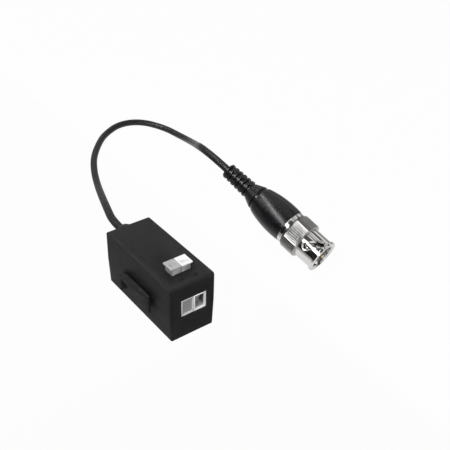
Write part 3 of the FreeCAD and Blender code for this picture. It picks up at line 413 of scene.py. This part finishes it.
# %% Plug body and contacts
body_piece = turned("plug_body_turned", [
    (22.0, 1.5, 0.0), (22.0, 4.0, 0.2), (33.6, 4.0, 0.1), (33.6, 6.9, 0.22), (35.3, 6.9, 0.22),
    (35.3, 4.8, 0.1), (40.6, 4.8, 0.1), (40.6, 5.8, 0.12), (42.2, 5.8, 0.12), (42.2, 4.08, 0.05), (38.0, 4.08, 0.05),
    (38.0, 1.5, 0.05), (22.0, 1.5, 0.0)], columns=192)
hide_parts("plug_body")
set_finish(body_piece, "nickel_plate")


def contact_distance(angle, height):
    """Four straight slots, 0.5 mm wide, from 43.9 mm to the open front."""
    turned_angle = np.abs((angle + math.pi / 4) % (math.pi / 2) - math.pi / 4)
    sideways = turned_angle * SLEEVE - 0.25 * SLEEVE / 4.05
    return np.maximum(sideways, 43.9 - height)


contact = tube_with_slots(
    "contact_ring", 384, np.concatenate([np.linspace(38.0, 49.3, 60), np.linspace(49.35, 49.9, 8)]),
    lambda angle, height: 4.05 - 0.15 * smooth_step(49.3, 49.9, height),
    lambda angle, height: np.full_like(height, 3.65), contact_distance, "balun")
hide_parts("outer_contact")
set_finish(contact, "nickel_plate")
insulator = turned("insulator_turned", [
    (38.0, 0.705, 0.0), (38.0, 3.62, 0.05), (39.6, 3.62, 0.1), (39.6, 2.4, 0.05), (46.4, 2.4, 0.2),
    (46.4, 0.705, 0.05), (38.0, 0.705, 0.0)], columns=96)
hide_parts("plug_insulator")
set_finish(insulator, "insulator_plastic")
pin = turned("pin_turned", [
    (38.0, 0.0, 0.0), (38.0, 0.675, 0.05), (48.9, 0.675, 0.3), (49.6, 0.37, 0.15), (49.6, 0.0, 0.0)], columns=48)
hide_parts("centre_pin")
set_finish(pin, "gold_plate")
gasket = turned("gasket_turned", [
    (42.2, 4.08, 0.0), (42.2, 4.75, 0.1), (43.2, 4.75, 0.3), (43.2, 4.08, 0.2), (42.2, 4.08, 0.0)], columns=96)
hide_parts("face_gasket")
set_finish(gasket, "gasket_rubber")

# %% [markdown]
# The gland is the same kind of piece on another axis, straight out of the case's
# back wall at the cord's height.

# %% The cord's gland
def on_gland(angle, radius, height):
    """Points round the line x = 0, z = 16.5 mm, with height along +Y."""
    return np.stack([np.cos(angle) * radius, height, 16.5 + np.sin(angle) * radius], -1) / 1000


gland = turned("gland_turned", [
    (17.4, 1.5, 0.0), (17.4, 3.1, 0.2), (18.4, 3.1, 0.1), (18.4, 2.5, 0.05), (20.1, 2.5, 0.02),
    (20.1, 3.5, 0.15), (22.3, 3.45, 0.35), (23.78, 2.8, 0.3), (23.78, 1.5, 0.05), (17.4, 1.5, 0.0)],
    columns=96, place=on_gland)
gland.data.flip_normals()
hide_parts("cable_gland")
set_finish(gland, "boot_vinyl")

# %% [markdown]
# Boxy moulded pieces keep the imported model's shape. A copy is merged, its flat faces
# are joined and its edges get a narrow bevel, because no moulded edge is truly
# sharp, and that thin line of light is what makes a small box look real.

# %% Moulded pieces with soft edges
def weigh_edges(mesh, beyond, share):
    """Bevel weights for the sharp edges: 1 to the left of beyond and a share elsewhere."""
    solid = bmesh.new()
    solid.from_mesh(mesh)
    layer = solid.edges.layers.float.new("bevel_weight_edge")
    for edge in solid.edges:
        if len(edge.link_faces) == 2 and edge.calc_face_angle() > math.radians(32):
            left = max(corner.co.x for corner in edge.verts) < beyond
            edge[layer] = 1.0 if left else share
    solid.to_mesh(mesh)
    solid.free()


def softened_copy(node, width, slot, body="balun", segments=2, beyond=None, rail_width=0.3):
    """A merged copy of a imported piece, with a bevel of that width in millimetres on its sharp edges,
    and a wider one on those that lie wholly to the left of beyond, in metres."""
    mesh = frame["nodes"][node].data.copy()
    mesh.name = node + "_soft"
    mesh.materials.clear()
    piece = bpy.data.objects.new(node + "_soft", mesh)
    scene.collection.objects.link(piece)
    bpy.context.view_layer.objects.active = piece
    weld = piece.modifiers.new("weld", "WELD")
    weld.merge_threshold = 0.000002
    flat = piece.modifiers.new("flat", "DECIMATE")
    flat.decimate_type = "DISSOLVE"
    flat.angle_limit = math.radians(0.5)
    if beyond is not None:
        depsgraph = bpy.context.evaluated_depsgraph_get()
        piece.data = bpy.data.meshes.new_from_object(piece.evaluated_get(depsgraph))
        piece.modifiers.clear()
        weigh_edges(piece.data, beyond, width / rail_width)
    edge = piece.modifiers.new("edge", "BEVEL")
    edge.width = (width if beyond is None else rail_width) / 1000
    edge.segments = segments
    edge.limit_method = "ANGLE" if beyond is None else "WEIGHT"
    edge.angle_limit = math.radians(32)
    edge.harden_normals = True
    depsgraph = bpy.context.evaluated_depsgraph_get()
    made = bpy.data.meshes.new_from_object(piece.evaluated_get(depsgraph))
    piece.modifiers.clear()
    piece.data = made
    made.polygons.foreach_set("use_smooth", np.ones(len(made.polygons), bool))
    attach(piece, body)
    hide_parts(node)
    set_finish(piece, slot)
    return piece


case = softened_copy("housing_shell", 0.12, "case_plastic", beyond=-0.0092)
cover = softened_copy("base_cover", 0.1, "case_plastic")
poles = [softened_copy("terminal_pole_left", 0.07, "pale_grey_plastic"),
         softened_copy("terminal_pole_right", 0.07, "white_plastic")]
buttons = [softened_copy("push_button_left", 0.06, "grey_plastic", "button_left"),
           softened_copy("push_button_right", 0.06, "white_plastic", "button_right")]
print("case:", len(case.data.polygons), "faces")

# %% [markdown]
# Finishes are built from a few shared groups of shader nodes. The first is the
# fine grain of a spark-eroded mould: two sizes of noise, one for the grain and one for a
# slow change of shade.

# %% Shared finish groups
def group_of(name, inputs, outputs):
    """An empty shader group with named float or colour inputs and outputs."""
    group = bpy.data.node_groups.new(name, "ShaderNodeTree")
    for label, kind, value in inputs:
        socket = group.interface.new_socket(label, in_out="INPUT", socket_type=kind)
        socket.default_value = value
    for label, kind in outputs:
        group.interface.new_socket(label, in_out="OUTPUT", socket_type=kind)
    return group, group.nodes.new("NodeGroupInput"), group.nodes.new("NodeGroupOutput")


def joined(tree, kind, links, **settings):
    """A new node with its settings, and its inputs linked or given a value."""
    node = tree.nodes.new(kind)
    for key, value in settings.items():
        setattr(node, key, value)
    for key, value in links.items():
        if isinstance(value, bpy.types.NodeSocket):
            tree.links.new(value, node.inputs[key])
        else:
            node.inputs[key].default_value = value
    return node


def mould_grain_group():
    """Colour, roughness and height of moulded plastic: fine noise for grain, slow noise for shade."""
    group, given, made = group_of("mould_grain", [
        ("Color", "NodeSocketColor", (0.5, 0.5, 0.5, 1)), ("Roughness", "NodeSocketFloat", 0.5),
        ("Grain Size", "NodeSocketFloat", 0.25), ("Shade Change", "NodeSocketFloat", 0.1)],
        [("Color", "NodeSocketColor"), ("Roughness", "NodeSocketFloat"), ("Height", "NodeSocketFloat")])
    place = joined(group, "ShaderNodeTexCoord", {})
    scale = joined(group, "ShaderNodeMath", {0: 1000.0, 1: given.outputs["Grain Size"]}, operation="DIVIDE")
    grain = joined(group, "ShaderNodeTexNoise", {
        "Vector": place.outputs["Object"], "Scale": scale.outputs[0], "Detail": 3.0, "Roughness": 0.6})
    slow = joined(group, "ShaderNodeTexNoise", {
        "Vector": place.outputs["Object"], "Scale": 90.0, "Detail": 3.0, "Roughness": 0.55})
    offset = joined(group, "ShaderNodeMath", {0: slow.outputs["Fac"], 1: -0.5}, operation="ADD")
    strength = joined(group, "ShaderNodeMath", {
        0: offset.outputs[0], 1: given.outputs["Shade Change"]}, operation="MULTIPLY")
    factor = joined(group, "ShaderNodeMath", {0: strength.outputs[0], 1: 1.0}, operation="ADD")
    colour = joined(group, "ShaderNodeVectorMath", {
        0: given.outputs["Color"], "Scale": factor.outputs[0]}, operation="SCALE")
    rough = joined(group, "ShaderNodeMath", {
        0: given.outputs["Roughness"], 1: strength.outputs[0]}, operation="ADD", use_clamp=True)
    group.links.new(colour.outputs[0], made.inputs["Color"])
    group.links.new(rough.outputs[0], made.inputs["Roughness"])
    group.links.new(grain.outputs["Fac"], made.inputs["Height"])
    return group


def turned_metal_group():
    """Colour, roughness and height of plated turned metal: marks that run round the piece, from the
    wrap map with the way round squeezed, and soft stains."""
    group, given, made = group_of("turned_metal", [
        ("Color", "NodeSocketColor", (0.7, 0.7, 0.7, 1)), ("Roughness", "NodeSocketFloat", 0.15),
        ("Mark Depth", "NodeSocketFloat", 0.05)],
        [("Color", "NodeSocketColor"), ("Roughness", "NodeSocketFloat"), ("Height", "NodeSocketFloat")])
    wrap = joined(group, "ShaderNodeUVMap", {}, uv_map="wrap")
    squeezed = joined(group, "ShaderNodeMapping", {"Vector": wrap.outputs[0], "Scale": (0.08, 9.0, 1.0)})
    marks = joined(group, "ShaderNodeTexNoise", {
        "Vector": squeezed.outputs[0], "Scale": 1.0, "Detail": 4.0, "Roughness": 0.7})
    place = joined(group, "ShaderNodeTexCoord", {})
    stain = joined(group, "ShaderNodeTexNoise", {
        "Vector": place.outputs["Object"], "Scale": 260.0, "Detail": 4.0, "Roughness": 0.6})
    off = joined(group, "ShaderNodeMath", {0: stain.outputs["Fac"], 1: -0.5}, operation="ADD")
    small = joined(group, "ShaderNodeMath", {0: off.outputs[0], 1: 0.22}, operation="MULTIPLY")
    factor = joined(group, "ShaderNodeMath", {0: small.outputs[0], 1: 1.0}, operation="ADD")
    colour = joined(group, "ShaderNodeVectorMath", {
        0: given.outputs["Color"], "Scale": factor.outputs[0]}, operation="SCALE")
    more = joined(group, "ShaderNodeMath", {
        0: small.outputs[0], 1: given.outputs["Roughness"]}, operation="ADD", use_clamp=True)
    deep = joined(group, "ShaderNodeMath", {
        0: marks.outputs["Fac"], 1: given.outputs["Mark Depth"]}, operation="MULTIPLY")
    group.links.new(colour.outputs[0], made.inputs["Color"])
    group.links.new(more.outputs[0], made.inputs["Roughness"])
    group.links.new(deep.outputs[0], made.inputs["Height"])
    return group


MOULD_GRAIN = mould_grain_group()
TURNED_METAL = turned_metal_group()

# %% [markdown]
# Each material places a group with its own values, then a Bump and a Principled
# shader. Numbers that are the same all over stay on the shader's own sockets.

# %% Materials
def finish(name, group, values, bump=0.1, distance=0.00002, **shader):
    """A material: a finish group feeding Base Color, Roughness and a Bump, with plain shader values."""
    material = bpy.data.materials.new(name)
    material.use_nodes = True
    tree = material.node_tree
    bsdf = tree.nodes["Principled BSDF"]
    node = tree.nodes.new("ShaderNodeGroup")
    node.node_tree = group
    for key, value in values.items():
        node.inputs[key].default_value = value
    relief = joined(tree, "ShaderNodeBump", {
        "Height": node.outputs["Height"], "Strength": bump, "Distance": distance})
    tree.links.new(node.outputs["Color"], bsdf.inputs["Base Color"])
    tree.links.new(node.outputs["Roughness"], bsdf.inputs["Roughness"])
    tree.links.new(relief.outputs["Normal"], bsdf.inputs["Normal"])
    for key, value in shader.items():
        bsdf.inputs[key.replace("_", " ")].default_value = value
    return material


def plastic(name, colour, rough, grain=0.25, shade=0.1, bump=0.25, **shader):
    """Moulded plastic: colour, roughness, grain size in millimetres and change of shade."""
    return finish(name, MOULD_GRAIN, {
        "Color": (*colour, 1), "Roughness": rough, "Grain Size": grain, "Shade Change": shade}, bump, **shader)


def metal(name, colour, rough, marks=0.05, bump=0.3, **shader):
    """Plated turned metal: colour, roughness and depth of the turning marks."""
    return finish(name, TURNED_METAL, {
        "Color": (*colour, 1), "Roughness": rough, "Mark Depth": marks}, bump, Metallic=1.0, **shader)


def between(tree, value, low, high):
    """A soft step from 0 at low to 1 at high."""
    step = joined(tree, "ShaderNodeMapRange", {"Value": value, "From Min": low, "From Max": high},
                  interpolation_type="SMOOTHSTEP")
    return step.outputs["Result"]


def calculated(tree, operation, first, second=0.0):
    """The result of one Math node."""
    return joined(tree, "ShaderNodeMath", {0: first, 1: second}, operation=operation).outputs[0]


def object_place(tree):
    """X, Y and Z of the surface point in the piece's own metres."""
    place = joined(tree, "ShaderNodeTexCoord", {})
    return joined(tree, "ShaderNodeSeparateXYZ", {0: place.outputs["Object"]}).outputs


def shaded(material, share, dark):
    """Paint shade into a finish: its base colour is scaled by dark where share is 0 and left as it is where 1."""
    tree = material.node_tree
    bsdf = tree.nodes["Principled BSDF"]
    colour = bsdf.inputs["Base Color"].links[0].from_socket
    factor = joined(tree, "ShaderNodeMapRange", {
        "Value": share, "To Min": dark, "To Max": 1.0}).outputs["Result"]
    scaled = joined(tree, "ShaderNodeVectorMath", {0: colour, "Scale": factor}, operation="SCALE")
    tree.links.new(scaled.outputs[0], bsdf.inputs["Base Color"])
    return material


def nickel_with_painted_groove_shade():
    """Bright nickel with painted shade in the knurl's grooves: its colour is darkened there, where a mirror only
    shows its other flank.
    """
    material = metal("nickel_with_painted_groove_shade", (0.80, 0.79, 0.775), 0.11, 0.02, 0.1)
    tree = material.node_tree
    wrap = joined(tree, "ShaderNodeUVMap", {}, uv_map="wrap")
    round_way = joined(tree, "ShaderNodeSeparateXYZ", {0: wrap.outputs[0]}).outputs["X"]
    wave = calculated(tree, "COSINE", calculated(tree, "MULTIPLY", round_way, KNURL_TEETH / (2 * SLEEVE)))
    crest = between(tree, calculated(tree, "ABSOLUTE", wave), 0.64, 0.80)
    # Painted shade: the base colour falls to 0.02 of the nickel's in the grooves between the crests.
    return shaded(material, crest, 0.02)


MINUS_AT = (-0.0020, -0.0172)
PLUS_AT = (0.0030, -0.0175)
ROOF_LEVEL = 0.0211
CAP_FOOT = 0.02350
MOUTH_FACE = -0.0201


def mark_bar(tree, place, centre, half):
    """1 inside a flat rectangle on the roof, from its centre and half sizes in metres."""
    inside = [calculated(tree, "LESS_THAN", calculated(tree, "ABSOLUTE", calculated(
        tree, "SUBTRACT", place[axis], centre[axis])), half[axis]) for axis in (0, 1)]
    return calculated(tree, "MULTIPLY", *inside)


def marked_case():
    """The case's plastic with a minus and a plus pressed into the roof before the two buttons: less shiny there, and
    darkened as painted shade.
    """
    material = plastic("matt_black_case", (0.011, 0.011, 0.0115), 0.58, 0.16, 0.12, 0.3)
    tree = material.node_tree
    place = object_place(tree)
    long, wide = 0.0010, 0.00022
    bars = [mark_bar(tree, place, MINUS_AT, (long, wide)), mark_bar(tree, place, PLUS_AT, (long, wide)),
            mark_bar(tree, place, PLUS_AT, (wide, long))]
    marks = calculated(tree, "MAXIMUM", calculated(tree, "MAXIMUM", bars[0], bars[1]), bars[2])
    marks = calculated(tree, "MULTIPLY", marks, calculated(tree, "GREATER_THAN", place[2], ROOF_LEVEL))
    plain = calculated(tree, "SUBTRACT", 1.0, marks)
    sheen = joined(tree, "ShaderNodeMapRange", {
        "Value": plain, "To Min": 0.15, "To Max": 0.36}).outputs["Result"]
    tree.links.new(sheen, tree.nodes["Principled BSDF"].inputs["Specular IOR Level"])
    # Painted shade: inside the marks the colour is 0.4 of the case's, for the shade of the pressed marks.
    return shaded(material, plain, 0.4)


def white_with_painted_stem_shade():
    """White where the button's cap is; below the cap's foot, on its stem and leg, the colour is darkened to grey as
    painted shade under the cap.
    """
    material = plastic("white_cap_painted_stem_shade", (0.84, 0.84, 0.84), 0.42, 0.2, 0.03, 0.12)
    tree = material.node_tree
    cap = between(tree, object_place(tree)[2], CAP_FOOT - 0.00003, CAP_FOOT + 0.00003)
    # Painted shade: below the cap the white is scaled to 0.42.
    return shaded(material, cap, 0.42)


def white_with_painted_mouth_shade():
    """White at the terminal's face; behind the face, inside its mouth, the colour is darkened as painted shade, most
    of all at the top.
    """
    material = plastic("white_terminal_painted_mouth_shade", (0.84, 0.84, 0.84), 0.42, 0.2, 0.03, 0.12)
    tree = material.node_tree
    place = object_place(tree)
    face = calculated(tree, "SUBTRACT", 1.0, between(tree, place[1], MOUTH_FACE + 0.0004, MOUTH_FACE + 0.0012))
    low = calculated(tree, "MULTIPLY", 0.45, calculated(
        tree, "SUBTRACT", 1.0, between(tree, place[2], 0.0088, 0.0105)))
    # Painted shade: behind the face the colour falls to 0.07 at the top and to about half lower down.
    return shaded(material, calculated(tree, "MAXIMUM", face, low), 0.07)


FINISHES = {
    "case_plastic": marked_case(),
    "board_laminate": plastic("green_board", (0.03, 0.16, 0.07), 0.4, 0.3, 0.2),
    "grey_plastic": plastic("grey_terminal", (0.38, 0.38, 0.385), 0.45, 0.2, 0.06, 0.12),
    "pale_grey_plastic": plastic("pale_grey_terminal", (0.58, 0.58, 0.585), 0.45, 0.2, 0.05, 0.12),
    "white_plastic": plastic("white_terminal", (0.84, 0.84, 0.84), 0.42, 0.2, 0.03, 0.12),
    "nickel_strip": plastic("spring_strip", (0.45, 0.45, 0.445), 0.4, 0.2, 0.05, 0.1, Metallic=0.5),
    "ferrite": plastic("dry_ferrite", (0.06, 0.055, 0.055), 0.8, 0.3, 0.2, 0.4),
    "enamel_wire": plastic("enamelled_copper", (0.42, 0.13, 0.04), 0.25, 0.4, 0.1, 0.1, Metallic=0.8),
    "arrester_coat": plastic("unglazed_ceramic", (0.72, 0.69, 0.62), 0.6, 0.2, 0.1),
    "resistor_coat": plastic("resistor_lacquer", (0.55, 0.42, 0.24), 0.35, 0.3, 0.15),
    "film_case": plastic("dipped_resin", (0.42, 0.08, 0.04), 0.3, 0.5, 0.15),
    "tinned_wire": plastic("tinned_copper", (0.66, 0.66, 0.66), 0.35, 0.3, 0.1, 0.2, Metallic=1.0),
    "cable_jacket": plastic("black_vinyl_cord", (0.006, 0.006, 0.007), 0.42, 1.6, 0.03, 0.005),
    "boot_vinyl": plastic("black_vinyl_boot", (0.007, 0.007, 0.008), 0.27, 0.9, 0.15, 0.30),
    "nickel_plate": metal("bright_nickel", (0.80, 0.79, 0.775), 0.055, 0.04, 0.2),
    "insulator_plastic": plastic("natural_insulator", (0.82, 0.82, 0.79), 0.4, 0.4, 0.05, 0.1),
    "gold_plate": metal("thin_gold", (0.72, 0.57, 0.30), 0.2, 0.02),
    "gasket_rubber": plastic("soft_gasket", (0.07, 0.02, 0.018), 0.55, 0.3, 0.15),
}

# %% Every piece and node gets its slot's finish
slot_of = {part["node"]: part["material_slot"] for part in frame["record"]["subparts"]}
for node, thing in frame["nodes"].items():
    thing.data.materials.clear()
    thing.data.materials.append(FINISHES[slot_of[node]])
for thing in scene.objects:
    if "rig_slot" in thing and thing.type in ("MESH", "CURVE"):
        thing.data.materials.clear()
        thing.data.materials.append(FINISHES[thing["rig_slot"]])
knurl.data.materials[0] = nickel_with_painted_groove_shade()
buttons[1].data.materials[0] = white_with_painted_stem_shade()
poles[1].data.materials[0] = white_with_painted_mouth_shade()

# %% [markdown]
# The table is white paper, seen as plain white but still holding a soft shadow. For the
# light that it throws back and shows in mirrors, its colour is painted darker round the
# case, darkest before its front, and bright beside the plug: painted shade on the floor.
# A wide soft key stands high on the left, and a narrow lamp in front lights the case's face.

# %% Floor and lamps
HALF_TABLE = 3.0

table_corners = [(x * HALF_TABLE, y * HALF_TABLE, 0) for x, y in ((-1, -1), (1, -1), (1, 1), (-1, 1))]
floor_mesh = bpy.data.meshes.new("floor")
floor_mesh.from_pydata(table_corners, [], [(0, 1, 2, 3)])
floor = bpy.data.objects.new("floor", floor_mesh)
scene.collection.objects.link(floor)
paper = bpy.data.materials.new("white_paper")
paper.use_nodes = True
tree = paper.node_tree
bsdf = tree.nodes["Principled BSDF"]
bsdf.inputs["Roughness"].default_value = 0.9
place = joined(tree, "ShaderNodeTexCoord", {})
apart = joined(tree, "ShaderNodeSeparateXYZ", {0: place.outputs["Object"]})
# Painted shade: the paper's colour is 0.06 before the case, a little more behind it, and 0.55 beside the plug.
behind = calculated(tree, "MULTIPLY", between(tree, apart.outputs["Y"], -0.035, -0.015), 0.3)
beside = between(tree, apart.outputs["X"], 0.032, 0.040)
bright = joined(tree, "ShaderNodeMapRange", {
    "Value": calculated(tree, "MAXIMUM", behind, beside), "To Min": 0.06, "To Max": 0.55}).outputs["Result"]
painted_shade_colour = joined(tree, "ShaderNodeCombineColor", {0: bright, 1: bright, 2: bright})
tree.links.new(painted_shade_colour.outputs[0], bsdf.inputs["Base Color"])
glow = joined(tree, "ShaderNodeEmission", {"Color": (1, 1, 1, 1), "Strength": 1.0})
path = joined(tree, "ShaderNodeLightPath", {})
# Mirrors see the paper glowing by the same painted shade.
mirrored = joined(tree, "ShaderNodeMath", {0: path.outputs["Is Glossy Ray"], 1: bright}, operation="MULTIPLY")
share = joined(tree, "ShaderNodeMath", {
    0: path.outputs["Is Camera Ray"], 1: 0.975, 2: mirrored.outputs[0]}, operation="MULTIPLY_ADD")
mixed = joined(tree, "ShaderNodeMixShader", {0: share.outputs[0], 1: bsdf.outputs[0], 2: glow.outputs[0]})
tree.links.new(mixed.outputs[0], tree.nodes["Material Output"].inputs["Surface"])
floor_mesh.materials.append(paper)


BEAM_RADIUS = 0.085
BEAM_REACH = 0.84


def area_light(name, place, target, size, power):
    """A rectangular lamp at a place, turned toward a target."""
    lamp = bpy.data.lights.new(name, "AREA")
    lamp.shape = "RECTANGLE"
    lamp.size = size[0]
    lamp.size_y = size[1]
    lamp.energy = power
    thing = bpy.data.objects.new(name, lamp)
    thing.location = place
    thing.rotation_euler = (Vector(target) - Vector(place)).to_track_quat("-Z", "Y").to_euler()
    scene.collection.objects.link(thing)
    return thing


key = area_light("key", (-0.46, -0.09, 0.64), (0.02, 0.02, 0.0), (0.5, 0.4), 5.1)
key.visible_glossy = False
beam = bpy.data.lights.new("front", "SPOT")
beam.energy = 11.5
beam.spot_size = 2 * math.atan(BEAM_RADIUS / BEAM_REACH)
beam.spot_blend = 0.8
beam.shadow_soft_size = 0.04
front = bpy.data.objects.new("front", beam)
front.location = (-0.05, -0.80, 0.30)
front.rotation_euler = (Vector((0.005, -0.02, 0.034)) - front.location).to_track_quat("-Z", "Y").to_euler()
front.visible_glossy = False
scene.collection.objects.link(front)

# %% [markdown]
# The world has three jobs. The eye sees plain white. Dull surfaces get a soft grey
# light, stronger from above. Metal shows its surroundings more than itself, so mirrors
# see a room of screens: steps of white and near black, counted by height on the far
# side, and on the near side by how far the mirrored ray points away over the plug. One
# bright tube there draws the line of light along the grip and the cord.

# %% The world: grey for shading, white for the eye, screens for mirrors
world = bpy.data.worlds.new("studio")
world.use_nodes = True
scene.world = world
tree = world.node_tree
tree.nodes.clear()
where = joined(tree, "ShaderNodeTexCoord", {})
apart = joined(tree, "ShaderNodeSeparateXYZ", {0: where.outputs["Generated"]})


def product(first, second):
    """first * second."""
    return joined(tree, "ShaderNodeMath", {0: first, 1: second}, operation="MULTIPLY").outputs[0]


def one_less(value):
    """1 - value."""
    return joined(tree, "ShaderNodeMath", {0: 1.0, 1: value}, operation="SUBTRACT").outputs[0]


def steps_of(value, stops):
    """A grey that changes at given values: stops are (start, grey)."""
    node = joined(tree, "ShaderNodeValToRGB", {0: value})
    ramp = node.color_ramp
    ramp.interpolation = "CONSTANT"
    while len(ramp.elements) < len(stops):
        ramp.elements.new(0.5)
    for element, (start, grey) in zip(ramp.elements, stops):
        element.position = start
        element.color = (grey, grey, grey, 1)
    return node.outputs["Color"]


def toward(direction):
    """How far the mirrored ray points in a direction: the dot product of the two."""
    return joined(tree, "ShaderNodeVectorMath", {
        0: where.outputs["Generated"], 1: direction}, operation="DOT_PRODUCT").outputs["Value"]


z = apart.outputs["Z"]
far_side = steps_of(z, [(0.0, 0.03), (0.12, 0.35), (0.45, 1.0), (0.60, 0.03), (0.70, 1.0), (0.80, 0.03),
                        (0.88, 1.0), (0.93, 0.03), (0.965, 1.0)])
over_plug = joined(tree, "ShaderNodeMapRange", {
    "Value": toward((-0.741, 0.106, -0.663)), "From Min": -1.0}).outputs["Result"]
screens = steps_of(over_plug, [(0.0, 0.03), (0.022, 1.0), (0.045, 0.03), (0.07, 1.0), (0.10, 0.03),
                               (0.145, 1.0), (0.19, 0.10), (0.366, 0.03), (0.416, 1.0), (0.634, 0.02)])
nearness = toward((-0.648, -0.372, 0.665))
near_side = between(tree, nearness, -0.03, 0.03)
room = joined(tree, "ShaderNodeMix", {0: near_side, 6: far_side, 7: screens}, data_type="RGBA").outputs[2]
room = joined(tree, "ShaderNodeSeparateColor", {0: room}).outputs[0]
skew = toward((-0.926, 1.074, -0.300))
tube = product(product(between(tree, skew, 0.247, 0.277), one_less(between(tree, skew, 0.357, 0.387))),
               product(between(tree, z, 0.05, 0.50), between(tree, nearness, 0.0, 0.8)))
mirror = joined(tree, "ShaderNodeMath", {0: tube, 1: 18.0, 2: room}, operation="MULTIPLY_ADD").outputs[0]
ambient = joined(tree, "ShaderNodeMapRange", {
    "Value": z, "From Min": -0.1, "From Max": 1.0, "To Min": 0.25, "To Max": 0.55}).outputs["Result"]
path = joined(tree, "ShaderNodeLightPath", {})
for_mirrors = joined(tree, "ShaderNodeMix", {
    0: path.outputs["Is Glossy Ray"], 2: ambient, 3: mirror}).outputs[0]
seen = joined(tree, "ShaderNodeMix", {0: path.outputs["Is Camera Ray"], 2: for_mirrors, 3: 1.0}).outputs[0]
sky = joined(tree, "ShaderNodeBackground", {"Color": (1, 1, 1, 1), "Strength": seen})
end = joined(tree, "ShaderNodeOutputWorld", {"Surface": sky.outputs[0]})
scene.view_settings.view_transform = "Standard"
